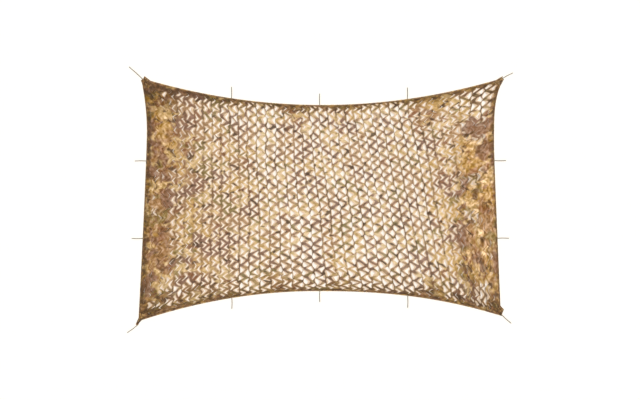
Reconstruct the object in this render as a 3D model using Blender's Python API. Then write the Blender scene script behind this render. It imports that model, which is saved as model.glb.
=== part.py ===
"""Camouflage netting: one slit cloth lying flat and drawn wide, and the tie cords along its hem.

Runs in Blender 4.5, in metres with +Z up. The net lies on z = 0, its long side along X and its middle on the
origin. The cloth is cut with columns of chevron slits, which the pull opens to triangles: each column holds one
row of gaps that point right and, half a row away, one that points left. The slits of the real cloth are half as
far apart as GAP_COLUMNS and GAP_ROWS set them here.
"""

import math
from collections import namedtuple

import bmesh
import bpy
from mathutils import Vector, geometry

# Cloth
CLOTH_THICK = 0.002
HEM_THICK = 0.003
HEM_WIDTH = 0.010
CLEARANCE = 0.0003

# Each hem runs hollow between its corners. near is its distance from the net's middle at its waist, and at is where
# along it the waist lies. Past the waist it moves out by spread over reach, as a curve of that power.
Half = namedtuple("Half", "spread reach power")
Hem = namedtuple("Hem", "near at before after")
TOP = Hem(0.797, 0.018, Half(0.224, 1.504, 2.0), Half(0.224, 1.504, 2.0))
BOTTOM = Hem(0.749, -0.016, Half(0.249, 1.487, 2.0), Half(0.208, 1.529, 2.3))
LEFT = Hem(1.437, 0.570, Half(0.067, 1.500, 1.2), Half(0.050, 0.450, 2.0))
RIGHT = Hem(1.447, 0.450, Half(0.055, 1.360, 1.1), Half(0.083, 0.570, 4.0))
HEM_STEP = 0.090

# Each corner is gathered into short tails. hem_x and hem_y are where the long hem and the side hem end, and root is
# where the tie leaves the gathers for tie_end.
Corner = namedtuple("Corner", "name hem_x long_tail notch side_tail hem_y root tie_end")
CORNERS = (
    Corner(
        "top_left", -1.409, (-1.458, 1.0345), (-1.471, 1.011), (-1.486, 1.002), 0.976,
        (-1.471, 1.011), (-1.585, 1.114),
    ),
    Corner(
        "top_right", 1.467, (1.519, 1.0345), (1.517, 1.018), (1.528, 1.014), 0.955,
        (1.517, 1.018), (1.604, 1.064),
    ),
    Corner(
        "bottom_right", 1.480, (1.512, -0.954), (1.508, -0.912), (1.528, -0.904), -0.873,
        (1.511, -0.946), (1.589, -1.017),
    ),
    Corner(
        "bottom_left", -1.478, (-1.496, -1.004), (-1.503, -1.0345), (-1.528, -1.026), -0.973,
        (-1.515, -1.031), (-1.601, -1.096),
    ),
)

# Tie cords on the hems: where along the hem, and how much of the cord shows
HemTie = namedtuple("HemTie", "name hem along length")
HEM_TIES = (
    HemTie("top_a", "top", -0.734, 0.094),
    HemTie("top_b", "top", -0.002, 0.094),
    HemTie("top_c", "top", 0.727, 0.095),
    HemTie("bottom_a", "bottom", -0.731, 0.091),
    HemTie("bottom_b", "bottom", -0.001, 0.091),
    HemTie("bottom_c", "bottom", 0.730, 0.100),
    HemTie("left_a", "left", 0.332, 0.094),
    HemTie("left_b", "left", -0.312, 0.091),
    HemTie("right_a", "right", 0.335, 0.096),
    HemTie("right_b", "right", -0.310, 0.096),
)
TIE_RADIUS = 0.0025
TIE_BOW = 0.0015
TIE_POINT_STEP = 0.009

# Slit pattern, in columns across and rows up
GAP_COLUMNS = 19
GAP_ROWS = 11
CLOSED_COLUMNS = 2
MIDDLE_STRETCH = 0.20
STRAND = 0.065
STRAND_WAVE = 0.03
GAP_REACH = 0.60
GAP_HALF_HEIGHT = 0.365
GAP_JITTER = 0.03
FLAP_SHARE = 0.85
OPEN_AT_EDGE = 0.30
OPEN_RAMP = 3.0
APEX_LIFT = 0.004

# The net was pulled a little askew: towards the right its columns lean and its rows rise, by these shares of its
# width and height
LEAN = 0.051
LEAN_POWER = 2.4
RISE = 0.10
RISE_POWER = 5.0

# Near a gathered corner the slits stay shut, out to this distance from it
SHUT_REACH = {"top_left": 0.60, "bottom_left": 0.60, "bottom_right": 0.56}

# Folds: pleats run up the uncut cloth by each side hem, and gathers fan out of each corner
PLEAT_SPACING = 0.25
PLEAT_ROW_STEP = 0.5
PLEAT_SWAY = 0.008
PLEAT_HEIGHT = {"left": 0.009, "right": 0.014}
GATHER_REACHES = (0.050, 0.105, 0.170, 0.250)
GATHER_RAYS = 7
GATHER_HEIGHT = 0.016
GATHER_END = 0.330
GATHER_STEEPNESS = 0.7
GATHER_MARGIN = 0.16


def remove_everything():
    for item in list(bpy.data.objects):
        bpy.data.objects.remove(item)


def linear_colour(hex_colour):
    """An sRGB hex colour as Blender's linear RGBA."""
    channels = [int(hex_colour[i : i + 2], 16) / 255 for i in (0, 2, 4)]
    linear = [c / 12.92 if c <= 0.04045 else ((c + 0.055) / 1.055) ** 2.4 for c in channels]
    return (*linear, 1.0)


def make_material(name, hex_colour, roughness):
    material = bpy.data.materials.new(name)
    material.use_nodes = True
    shader = material.node_tree.nodes["Principled BSDF"]
    shader.inputs["Base Color"].default_value = linear_colour(hex_colour)
    shader.inputs["Roughness"].default_value = roughness
    shader.inputs["Metallic"].default_value = 0.0
    return material


def hem_distance(hem, along):
    """How far the hem lies from the net's middle line, at that place along it."""
    half = hem.after if along > hem.at else hem.before
    return hem.near + half.spread * (abs(along - hem.at) / half.reach) ** half.power


def net_point(across, up):
    """Where a point of the cloth lies, given as its share of the way from left to right and from bottom to top."""
    y = 2 * up - 1
    for _ in range(5):
        x = across * hem_distance(RIGHT, y) - (1 - across) * hem_distance(LEFT, y)
        y = up * hem_distance(TOP, x) - (1 - up) * hem_distance(BOTTOM, x)
    return Vector((x, y))


def share_across(column):
    """The share of the width at a column, the columns being wider in the middle, where the net is drawn open."""
    even = column / GAP_COLUMNS
    return (even + MIDDLE_STRETCH / 2 * (even - math.sin(math.tau * even) / math.tau)) / (1 + MIDDLE_STRETCH / 2)


def lattice_point(column, row):
    """Where a point of the slit pattern lies, given as its column and row."""
    across = share_across(column)
    up = row / GAP_ROWS
    lean = LEAN * math.sin(math.pi * across**LEAN_POWER)
    rise = RISE * across**RISE_POWER
    return net_point(across - lean * (2 * up - 1), up + rise * 4 * up * (1 - up))


def steps_between(start, end, step):
    """Even values from start to end, both included, about that far apart."""
    count = max(1, round(abs(end - start) / step))
    return [start + (end - start) * i / count for i in range(count + 1)]


def long_hem_points(hem, side, start, end, inset=0.0):
    return [Vector((x, side * (hem_distance(hem, x) - inset))) for x in steps_between(start, end, HEM_STEP)]


def side_hem_points(hem, side, start, end, inset=0.0):
    return [Vector((side * (hem_distance(hem, y) - inset), y)) for y in steps_between(start, end, HEM_STEP)]


def outline_points():
    """The cloth's rim, anticlockwise from the top right corner: hems, with each corner's tails between them."""
    top_left, top_right, bottom_right, bottom_left = CORNERS
    rim = long_hem_points(TOP, 1, top_right.hem_x, top_left.hem_x)
    rim += [Vector(p) for p in (top_left.long_tail, top_left.notch, top_left.side_tail)]
    rim += side_hem_points(LEFT, -1, top_left.hem_y, bottom_left.hem_y)
    rim += [Vector(p) for p in (bottom_left.side_tail, bottom_left.notch, bottom_left.long_tail)]
    rim += long_hem_points(BOTTOM, -1, bottom_left.hem_x, bottom_right.hem_x)
    rim += [Vector(p) for p in (bottom_right.long_tail, bottom_right.notch, bottom_right.side_tail)]
    rim += side_hem_points(RIGHT, 1, bottom_right.hem_y, top_right.hem_y)
    rim += [Vector(p) for p in (top_right.side_tail, top_right.notch, top_right.long_tail)]
    return rim


def hem_stitch_points():
    """The line where the hem is sewn down, HEM_WIDTH inside the rim."""
    top_left, top_right, bottom_right, bottom_left = CORNERS
    line = long_hem_points(TOP, 1, top_right.hem_x, top_left.hem_x, HEM_WIDTH)
    line += side_hem_points(LEFT, -1, top_left.hem_y, bottom_left.hem_y, HEM_WIDTH)
    line += long_hem_points(BOTTOM, -1, bottom_left.hem_x, bottom_right.hem_x, HEM_WIDTH)
    line += side_hem_points(RIGHT, 1, bottom_right.hem_y, top_right.hem_y, HEM_WIDTH)
    return line


def uneven(*numbers):
    """A repeatable value from -1 to 1 for those numbers."""
    mixed = sum(number * weight for number, weight in zip(numbers, (12.9898, 78.233, 37.719)))
    return 2 * ((math.sin(mixed) * 43758.5453) % 1.0) - 1


def openness(column):
    """How far the slits of a column are drawn open, from 0 to 1."""
    into_net = min(column + 0.5, GAP_COLUMNS - column - 0.5) - CLOSED_COLUMNS - 0.5
    share = min(1.0, max(0.0, into_net / OPEN_RAMP))
    smooth = share * share * (3 - 2 * share)
    return OPEN_AT_EDGE + (1 - OPEN_AT_EDGE) * smooth


def gap_outline(column, row, points_right):
    """One gap's (place, height) corners, anticlockwise: the ends of its straight side, its point, and its flap."""
    opened = openness(column)
    flap = STRAND - STRAND_WAVE + (1 - opened) * (GAP_REACH - STRAND) * FLAP_SHARE
    shape = (
        (STRAND, -GAP_HALF_HEIGHT, 0.0),
        (GAP_REACH, 0.0, APEX_LIFT * opened),
        (STRAND, GAP_HALF_HEIGHT, 0.0),
        (flap, 0.0, 0.0),
    )
    corners = []
    for number, (inward, up, height) in enumerate(shape):
        inward += GAP_JITTER * uneven(column, row, number)
        up += GAP_JITTER * uneven(row, number, column)
        across = column + inward if points_right else column + 1 - inward
        corners.append((lattice_point(across, row + up), height))
    return corners if points_right else corners[::-1]


def stays_shut(column, row):
    """Whether a slit lies so near a gathered corner that the pull doesn't open it."""
    place = lattice_point(column + 0.5, row)
    return any((place - Vector(c.notch)).length < SHUT_REACH.get(c.name, 0.0) for c in CORNERS)


def gap_outlines():
    gaps = []
    for column in range(CLOSED_COLUMNS, GAP_COLUMNS - CLOSED_COLUMNS):
        slits = [(row + 0.5, True) for row in range(GAP_ROWS)]
        slits += [(row, False) for row in range(1, GAP_ROWS)]
        for row, points_right in slits:
            if not stays_shut(column, row):
                gaps.append(gap_outline(column, row, points_right))
    return gaps


def near_a_corner(place):
    return any((place - Vector(corner.notch)).length < GATHER_REACHES[-1] + 0.03 for corner in CORNERS)


def pleat_points(side):
    """(place, height) points of the pleats beside a side hem: every second line of them is a ridge."""
    points = []
    for line in range(1, round(CLOSED_COLUMNS / PLEAT_SPACING)):
        for step in range(1, round(GAP_ROWS / PLEAT_ROW_STEP)):
            row = step * PLEAT_ROW_STEP
            column = line * PLEAT_SPACING
            if side == "right":
                column = GAP_COLUMNS - column
            place = lattice_point(column, row)
            place.x += PLEAT_SWAY * math.sin(row * 1.3 + line)
            if near_a_corner(place):
                continue
            ridge = PLEAT_HEIGHT[side] * (0.75 + 0.25 * uneven(line, step)) if line % 2 else 0.0
            points.append((place, ridge))
    return points


def gather_points(corner):
    """(place, height) points of the gathers that fan out of a corner, between its two hems."""
    notch = Vector(corner.notch)
    across = 0.0 if notch.x < 0 else 1.0
    up = 0.0 if notch.y < 0 else 1.0
    long_hem = net_point(abs(across - GATHER_MARGIN), up) - notch
    side_hem = net_point(across, abs(up - GATHER_MARGIN)) - notch
    start = math.atan2(long_hem.y, long_hem.x)
    turn = side_hem.angle_signed(long_hem)
    points = []
    for reach in GATHER_REACHES:
        for ray in range(1, GATHER_RAYS + 1):
            angle = start + turn * ray / (GATHER_RAYS + 1)
            place = notch + reach * Vector((math.cos(angle), math.sin(angle)))
            room = GATHER_STEEPNESS * reach * abs(turn) / (GATHER_RAYS + 1)
            fading = GATHER_HEIGHT * (1 - reach / GATHER_END)
            points.append((place, 0.0 if ray % 2 else min(room, fading)))
    return points


def panel_layout():
    """All flat points with their height and thickness, and the loops of point numbers that bound the cloth."""
    flat, heights, thicknesses, loops = [], [], [], []

    def add_loop(points, thick):
        loops.append(list(range(len(flat), len(flat) + len(points))))
        for place, height in points:
            flat.append(place)
            heights.append(height)
            thicknesses.append(thick)

    add_loop([(p, 0.0) for p in outline_points()], HEM_THICK)
    add_loop([(p, 0.0) for p in hem_stitch_points()], HEM_THICK)
    for gap in gap_outlines():
        add_loop(gap, CLOTH_THICK)
    folds = pleat_points("left") + pleat_points("right")
    for corner in CORNERS:
        folds += gather_points(corner)
    for place, height in folds:
        flat.append(place)
        heights.append(height)
        thicknesses.append(CLOTH_THICK)
    return flat, heights, thicknesses, loops


def cloth_triangles(flat, loops):
    """The flat cloth as triangles, each gap left out, over the points as the triangulation returns them."""
    triangulate_inside = 1
    tiny = 1e-6
    places, _, faces, sources, _, face_sources = geometry.delaunay_2d_cdt(
        flat, [], loops, triangulate_inside, tiny
    )
    rim_face, stitch_face = 0, 1
    kept = [face for face, source in zip(faces, face_sources) if set(source) <= {rim_face, stitch_face}]
    return places, kept, [source[0] for source in sources]


def make_net_panel(material):
    """The cloth as one closed sheet: the flat triangles twice, a thickness apart, joined round the rim and each gap."""
    flat, heights, thicknesses, loops = panel_layout()
    places, triangles, sources = cloth_triangles(flat, loops)
    sheet = bmesh.new()
    under, over = [], []
    for place, source in zip(places, sources):
        low = heights[source]
        under.append(sheet.verts.new((place.x, place.y, low)))
        over.append(sheet.verts.new((place.x, place.y, low + thicknesses[source])))
    edges = set()
    for a, b, c in triangles:
        sheet.faces.new((over[a], over[b], over[c]))
        sheet.faces.new((under[c], under[b], under[a]))
        edges.update(((a, b), (b, c), (c, a)))
    for a, b in edges:
        if (b, a) not in edges:
            sheet.faces.new((under[a], under[b], over[b], over[a]))
    loose = [vertex for vertex in sheet.verts if not vertex.link_faces]
    bmesh.ops.delete(sheet, geom=loose, context="VERTS")
    mesh = bpy.data.meshes.new("net_panel")
    sheet.to_mesh(mesh)
    sheet.free()
    mesh.materials.append(material)
    panel = bpy.data.objects.new("net_panel", mesh)
    bpy.context.collection.objects.link(panel)
    return panel


def distance_to_rim(point, rim):
    nearest = math.inf
    for start, end in zip(rim, rim[1:] + rim[:1]):
        foot, share = geometry.intersect_point_line(point, start, end)
        foot = start.lerp(end, min(1.0, max(0.0, share)))
        nearest = min(nearest, (point - foot).length)
    return nearest


def clear_of_rim(root, direction, rim):
    """The first place outward from root where a square-cut cord end stands CLEARANCE off the cloth's rim."""
    sideways = Vector((-direction.y, direction.x)) * TIE_RADIUS
    step = CLEARANCE / 3
    place = root + direction * step
    while min(distance_to_rim(place + sideways * k / 4, rim) for k in range(-4, 5)) < CLEARANCE:
        place += direction * step
    return place


def make_tie(name, start, end, bow, material):
    """A straight cord with a slight bow, as a tube from the cloth's rim to its cut end."""
    span = end - start
    curve = bpy.data.curves.new(name, "CURVE")
    curve.dimensions = "3D"
    curve.bevel_depth = TIE_RADIUS
    curve.bevel_resolution = 2
    curve.use_fill_caps = True
    spline = curve.splines.new("POLY")
    shares = steps_between(0.0, 1.0, TIE_POINT_STEP / span.length)
    spline.points.add(len(shares) - 1)
    for point, share in zip(spline.points, shares):
        point.co = (share * span.length, bow * math.sin(math.pi * share) ** 2, 0.0, 1.0)
    curve.materials.append(material)
    tie = bpy.data.objects.new(name, curve)
    tie.location = (start.x, start.y, TIE_RADIUS + CLEARANCE)
    tie.rotation_euler.z = math.atan2(span.y, span.x)
    bpy.context.collection.objects.link(tie)
    return tie


def hem_tie_route(tie):
    """Where a hem tie leaves the rim, and which way it points."""
    if tie.hem == "top":
        return Vector((tie.along, hem_distance(TOP, tie.along))), Vector((0.0, 1.0))
    if tie.hem == "bottom":
        return Vector((tie.along, -hem_distance(BOTTOM, tie.along))), Vector((0.0, -1.0))
    if tie.hem == "left":
        return Vector((-hem_distance(LEFT, tie.along), tie.along)), Vector((-1.0, 0.0))
    return Vector((hem_distance(RIGHT, tie.along), tie.along)), Vector((1.0, 0.0))


def make_ties(rim):
    routes = []
    for tie in HEM_TIES:
        root, outward = hem_tie_route(tie)
        routes.append((f"tie_{tie.name}", root, root + outward * tie.length))
    for corner in CORNERS:
        routes.append((f"tie_corner_{corner.name}", Vector(corner.root), Vector(corner.tie_end)))
    ties = []
    for number, (name, root, end) in enumerate(routes):
        start = clear_of_rim(root, (end - root).normalized(), rim)
        bow = TIE_BOW if number % 2 else -TIE_BOW
        ties.append(make_tie(name, start, end, bow, make_material(f"{name}_cord", "9c9686", 0.85)))
    return ties


def main():
    remove_everything()
    panel = make_net_panel(make_material("camo_cloth", "a8835c", 0.9))
    netting = bpy.data.objects.new("netting", None)
    bpy.context.collection.objects.link(netting)
    for piece in [panel, *make_ties(outline_points())]:
        piece.parent = netting


main()
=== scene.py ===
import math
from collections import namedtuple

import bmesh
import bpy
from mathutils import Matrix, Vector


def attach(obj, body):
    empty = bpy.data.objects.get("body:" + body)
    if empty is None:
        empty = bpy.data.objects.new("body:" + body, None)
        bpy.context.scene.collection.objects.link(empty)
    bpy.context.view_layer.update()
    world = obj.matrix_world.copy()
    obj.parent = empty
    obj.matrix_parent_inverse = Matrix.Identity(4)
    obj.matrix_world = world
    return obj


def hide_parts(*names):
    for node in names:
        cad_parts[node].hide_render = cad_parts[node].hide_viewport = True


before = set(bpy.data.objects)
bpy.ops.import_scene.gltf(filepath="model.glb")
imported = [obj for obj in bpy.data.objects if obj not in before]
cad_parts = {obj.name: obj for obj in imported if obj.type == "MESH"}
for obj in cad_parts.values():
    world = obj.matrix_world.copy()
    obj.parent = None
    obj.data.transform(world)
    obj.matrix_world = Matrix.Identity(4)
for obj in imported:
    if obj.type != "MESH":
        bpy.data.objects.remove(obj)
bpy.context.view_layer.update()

# %% [markdown]
# # Camouflage netting
# A camouflage net is one light printed cloth. Rows of short chevron slits are cut in it, and when it is
# pulled wide every slit opens to a small window while the cloth beside it curls up, so that the net looks
# like leaves. This one lies flat on the floor, drawn out between its four corners, with a hem all round and
# fourteen short tie cords.
#
# The measured model is already loaded above: it gives the sizes that everything here keeps to. All lengths
# are in metres, with +Z up and the net's long side along X.

MATH = "ShaderNodeMath"
scene = bpy.context.scene


def node(tree, kind, *inputs, named=None, **settings):
    """Adds a node, makes its settings, and fills or links its inputs, in order and by name."""
    made = tree.nodes.new(kind)
    made.location = (190 * (len(tree.nodes) % 24), -260 * (len(tree.nodes) // 24))
    for setting, value in settings.items():
        setattr(made, setting, value)
    for slot, value in [*enumerate(inputs), *(named or {}).items()]:
        if isinstance(value, bpy.types.Node):
            value = value.outputs[0]
        if isinstance(value, bpy.types.NodeSocket):
            tree.links.new(value, made.inputs[slot])
        elif value is not None:
            made.inputs[slot].default_value = value
    return made


def linear(hex_colour):
    """An sRGB hex colour as the linear RGBA that Blender works in."""
    channels = [int(hex_colour[i : i + 2], 16) / 255 for i in (0, 2, 4)]
    return (*[c / 12.92 if c <= 0.04045 else ((c + 0.055) / 1.055) ** 2.4 for c in channels], 1.0)


# %% [markdown]
# ## The camera
# The camera hangs straight above the net and looks down, so the cloth is seen square on, as laid out on a
# studio floor. A fairly long lens keeps the hems from bulging. Its height follows from the width of floor
# that the view has to take in.

# %% Camera
VIEW_WIDTH = 5.318
VIEW_MIDDLE = (0.0008, 0.0075)
LENS_MM = 85
SENSOR_MM = 36

camera_data = bpy.data.cameras.new("camera")
camera_data.lens = LENS_MM
camera_data.sensor_width = SENSOR_MM
camera_data.dof.use_dof = False
camera = bpy.data.objects.new("camera", camera_data)
camera.location = (*VIEW_MIDDLE, VIEW_WIDTH * LENS_MM / SENSOR_MM)
scene.collection.objects.link(camera)
scene.camera = camera
print("camera height:", round(camera.location.z, 3), "m")

# %% [markdown]
# ## The hem lines
# A net that is pulled at its corners draws in between them, so each hem is a shallow curve. Each is
# described by its waist, the place where it comes nearest to the middle of the net, and by its two halves:
# how far each spreads outwards, over what length, and to what power. Everything else here, from the slits
# to the ties, takes its place from these four lines.
#
# Each corner says where its two hems end, how far their tails run on, and where its tie starts and ends.

# %% Hem lines and corners
Half = namedtuple("Half", "spread reach power")
Hem = namedtuple("Hem", "near at before after")
TOP = Hem(0.797, 0.018, Half(0.224, 1.504, 2.0), Half(0.224, 1.504, 2.0))
BOTTOM = Hem(0.749, -0.016, Half(0.249, 1.487, 2.0), Half(0.208, 1.529, 2.3))
LEFT = Hem(1.437, 0.570, Half(0.067, 1.500, 1.2), Half(0.050, 0.450, 2.0))
RIGHT = Hem(1.447, 0.450, Half(0.055, 1.360, 1.1), Half(0.083, 0.570, 4.0))

Corner = namedtuple("Corner", "name hem_x hem_y long_tail side_tail root tie_end")
CORNERS = (
    Corner(
        "top_left", hem_x=-1.409, hem_y=0.976, long_tail=(-1.458, 1.0345), side_tail=(-1.486, 1.002),
        root=(-1.471, 1.011), tie_end=(-1.585, 1.114),
    ),
    Corner(
        "top_right", hem_x=1.467, hem_y=0.955, long_tail=(1.519, 1.0345), side_tail=(1.528, 1.014),
        root=(1.517, 1.018), tie_end=(1.604, 1.064),
    ),
    Corner(
        "bottom_right", hem_x=1.480, hem_y=-0.873, long_tail=(1.512, -0.954), side_tail=(1.528, -0.904),
        root=(1.511, -0.946), tie_end=(1.589, -1.017),
    ),
    Corner(
        "bottom_left", hem_x=-1.478, hem_y=-0.973, long_tail=(-1.496, -1.004), side_tail=(-1.528, -1.026),
        root=(-1.515, -1.031), tie_end=(-1.601, -1.096),
    ),
)


def hem_distance(hem, along):
    """How far a hem lies from the net's middle line, at that place along it."""
    half = hem.after if along > hem.at else hem.before
    return hem.near + half.spread * (abs(along - hem.at) / half.reach) ** half.power


print("waist:", round(TOP.near + BOTTOM.near, 3), "m high and", round(LEFT.near + RIGHT.near, 3), "m wide")

# %% [markdown]
# ## The tie cords
# Ten short cords are caught in the hems and one more is fixed at each corner. A cord could be a plain tube
# with a bump map, but a laid cord has three fat strands that catch the light one after another. So a
# profile of three lobes is swept along the cord and turned about it as it goes. Geometry Nodes does this
# for any path.

# %% Where each tie runs
HemTie = namedtuple("HemTie", "name hem along length")
HEM_TIES = (
    HemTie("top_a", "top", -0.734, 0.094),
    HemTie("top_b", "top", -0.002, 0.094),
    HemTie("top_c", "top", 0.727, 0.095),
    HemTie("bottom_a", "bottom", -0.731, 0.091),
    HemTie("bottom_b", "bottom", -0.001, 0.091),
    HemTie("bottom_c", "bottom", 0.730, 0.100),
    HemTie("left_a", "left", 0.332, 0.094),
    HemTie("left_b", "left", -0.312, 0.091),
    HemTie("right_a", "right", 0.335, 0.096),
    HemTie("right_b", "right", -0.310, 0.096),
)
TIE_THICK = 0.005
TIE_LIFT = 0.0028
TIE_BOW = 0.0015
TIE_SEWN_IN = 0.004
TIE_POINTS = 25


def hem_tie_route(tie):
    """Where a hem tie leaves the rim, and which way it points."""
    if tie.hem == "top":
        return Vector((tie.along, hem_distance(TOP, tie.along), 0)), Vector((0, 1, 0))
    if tie.hem == "bottom":
        return Vector((tie.along, -hem_distance(BOTTOM, tie.along), 0)), Vector((0, -1, 0))
    if tie.hem == "left":
        return Vector((-hem_distance(LEFT, tie.along), tie.along, 0)), Vector((-1, 0, 0))
    return Vector((hem_distance(RIGHT, tie.along), tie.along, 0)), Vector((1, 0, 0))


def tie_path(root, end, bow):
    """Points along a tie that starts inside the hem and bows a little on its way to its free end."""
    outward = (end - root).normalized()
    sideways = Vector((-outward.y, outward.x, 0))
    start = root - outward * TIE_SEWN_IN
    points = []
    for step in range(TIE_POINTS):
        share = step / (TIE_POINTS - 1)
        sway = sideways * bow * math.sin(math.pi * share) ** 2
        points.append(start.lerp(end, share) + sway + Vector((0, 0, TIE_LIFT)))
    return points


tie_routes = {}
for hem_tie in HEM_TIES:
    tie_root, tie_outward = hem_tie_route(hem_tie)
    tie_routes[f"tie_{hem_tie.name}"] = (tie_root, tie_root + tie_outward * hem_tie.length)
for corner in CORNERS:
    tie_routes[f"tie_corner_{corner.name}"] = (Vector((*corner.root, 0)), Vector((*corner.tie_end, 0)))
for name, (tie_root, tie_end) in tie_routes.items():
    print(f"{name}: {1000 * (tie_end - tie_root).length:.0f} mm shows")

# %% [markdown]
# A node tree is made once and used by every piece of its kind, as a modifier with its own sizes. What it
# makes is then kept as a plain mesh. The four helpers below make a tree, give it to a piece, keep the
# result, and draw the lines that a tree follows.

# %% Tools for trees
def new_tree(name, sockets):
    """An empty geometry tree with a geometry coming in and going out, and these named inputs."""
    tree = bpy.data.node_groups.new(name, "GeometryNodeTree")
    tree.interface.new_socket("Geometry", in_out="INPUT", socket_type="NodeSocketGeometry")
    tree.interface.new_socket("Geometry", in_out="OUTPUT", socket_type="NodeSocketGeometry")
    for socket_name, kind in sockets.items():
        tree.interface.new_socket(socket_name, in_out="INPUT", socket_type=f"NodeSocket{kind}")
    return tree, node(tree, "NodeGroupInput")


def use_tree(piece, tree, values):
    """Gives a piece the tree as a modifier and sets the tree's named inputs."""
    modifier = piece.modifiers.new(tree.name, "NODES")
    modifier.node_group = tree
    for item in tree.interface.items_tree:
        if item.in_out == "INPUT" and item.name in values:
            modifier[item.identifier] = values[item.name]


def keep_shape(piece, crease_degrees=180):
    """Keeps what a piece's modifiers make as its own plain mesh; edges that bend more than that are sharp."""
    graph = bpy.context.evaluated_depsgraph_get()
    shaped = piece.evaluated_get(graph)
    mesh = bpy.data.meshes.new_from_object(shaped, preserve_all_data_layers=True, depsgraph=graph)
    piece.modifiers.clear()
    piece.data = mesh
    mesh.name = piece.name
    mesh.shade_smooth()
    mesh.set_sharp_from_angle(angle=math.radians(crease_degrees))
    return piece


def line_piece(name, lines):
    """A mesh object that holds only lines through points, as a path for a tree."""
    mesh = bpy.data.meshes.new(name)
    places, edges = [], []
    for points in lines:
        first = len(places)
        places += [tuple(p) for p in points]
        edges += [(first + i, first + i + 1) for i in range(len(points) - 1)]
    mesh.from_pydata(places, edges, [])
    piece = bpy.data.objects.new(name, mesh)
    scene.collection.objects.link(piece)
    return piece


print("a tie's line has", TIE_POINTS, "points")

# %% [markdown]
# The first tree turns a line of points into a laid cord. It sweeps a ring with three lobes along the line
# and turns it as it goes. A point's distance from the ring's middle falls from half the cord's thickness on
# a lobe to a bit less in the groove beside it. The lobes are drawn a tenth too thick, so that with its
# grooves the cord is as thick as the real one on the whole. How far each point is from the free end is kept
# for the finish, which darkens the melted tip.

# %% Laid cord tree
CORD_STRANDS = 3
CORD_TURN = 0.020
CORD_CRESTS = 1.1
CORD_GROOVE = 0.20
CORD_STEP = 0.0016
CORD_SIDES = 18
TIP_LENGTH = 0.005
TIP_WIDTH = 0.72

cord_tree, given = new_tree(
    "laid cord",
    {
        "Thickness": "Float",
        "Strands": "Float",
        "Turn": "Float",
        "Groove": "Float",
        "Material": "Material",
    },
)
path = node(cord_tree, "GeometryNodeMeshToCurve", given)
path = node(cord_tree, "GeometryNodeResampleCurve", path, named={"Length": CORD_STEP}, mode="LENGTH")
place_along = node(cord_tree, "GeometryNodeSplineParameter")
cord_length = node(cord_tree, "GeometryNodeSplineLength")
to_tip = node(cord_tree, MATH, cord_length, place_along.outputs["Length"], operation="SUBTRACT")
path = node(
    cord_tree, "GeometryNodeStoreNamedAttribute", path, None, "to_tip", to_tip,
    data_type="FLOAT", domain="POINT",
)
turns = node(cord_tree, MATH, place_along.outputs["Length"], given.outputs["Turn"], operation="DIVIDE")
angle = node(cord_tree, MATH, turns, math.tau, operation="MULTIPLY")
path = node(cord_tree, "GeometryNodeSetCurveNormal", path, mode="Z_UP")
path = node(cord_tree, "GeometryNodeSetCurveTilt", path, None, angle)
rounding = node(
    cord_tree, "ShaderNodeMapRange", to_tip, 0.0, TIP_LENGTH / 2, TIP_WIDTH, 1.0,
    interpolation_type="SMOOTHSTEP",
)

ring = node(cord_tree, "GeometryNodeCurvePrimitiveCircle", CORD_SIDES, named={"Radius": 1.0})
ring_index = node(cord_tree, "GeometryNodeInputIndex")
around = node(cord_tree, MATH, ring_index, math.tau / CORD_SIDES, operation="MULTIPLY")
lobes = node(cord_tree, MATH, around, given.outputs["Strands"], operation="MULTIPLY")
wave = node(cord_tree, MATH, lobes, operation="COSINE")
wave = node(cord_tree, MATH, wave, -1.0, operation="ADD")
lobed = node(cord_tree, MATH, wave, given.outputs["Groove"], 2.0, operation="MULTIPLY_ADD")
quarter_thick = node(cord_tree, MATH, given.outputs["Thickness"], 0.25, operation="MULTIPLY")
reach = node(cord_tree, MATH, lobed, quarter_thick, operation="MULTIPLY")
place = node(cord_tree, "GeometryNodeInputPosition")
place = node(cord_tree, "ShaderNodeVectorMath", place, operation="SCALE", named={"Scale": reach})
ring = node(cord_tree, "GeometryNodeSetPosition", ring, None, place)
tube = node(cord_tree, "GeometryNodeCurveToMesh", path, ring, rounding, True)
tube = node(cord_tree, "GeometryNodeSetShadeSmooth", tube)
tube = node(cord_tree, "GeometryNodeRealizeInstances", tube)
tube = node(cord_tree, "GeometryNodeSetMaterial", tube, None, given.outputs["Material"])
node(cord_tree, "NodeGroupOutput", tube)
print("laid cord tree:", len(cord_tree.nodes), "nodes")

# %% [markdown]
# ## The slit cloth
# The cloth carries one pattern over and over: 38 of it across and 22 up. Each cell of it holds a band that
# zigzags and a narrow strand beside it, parted by two chevron slits, one pointing each way and half a cell
# apart. So one cell is modelled flat, and its points also remember where they go once the cloth is drawn:
# the band and the strand lean away from each other, and the cut edges curl up off the floor.
#
# Seven points across the cell are enough: four over the band and three over the strand. A slit is three
# quarters of a cell high. At the link between two slits, the band's left side lies 0.14 of a cell out to
# the left, and half way up the slit it has swung 0.52 to the right, with its cut edge curled up as a lip.
# The strand stays nearly straight, with a lip half as wide on both sides. Widths are shares of a cell, and
# heights are in metres.

# %% The cut pattern, drawn open
SLIT_HALF = 0.375
KNIFE_CUT = 0.005
BAND_LINK = -0.14
BAND_LIP = 0.175
LIP_ROOT = 0.25
BAND_SWING = 0.52
GAP_ROUNDNESS = 1.10
STRAND_MIDDLE = 0.75
STRAND_SWAY = 0.07
STRAND_LIP = 0.085
FLOOR_GAP = 0.0012
BAND_CURL = 0.0065
BAND_HUMP = 0.0035
STRAND_CURL = 0.0060
STRAND_SEAT = 0.0015


def up_the_slit(y, middle):
    """1 half way up a slit, falling to 0 at its ends. Slits repeat every cell."""
    away = abs((y - middle + 0.5) % 1 - 0.5)
    return math.cos(math.pi / 2 * away / SLIT_HALF) if away < SLIT_HALF else 0.0


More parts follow.
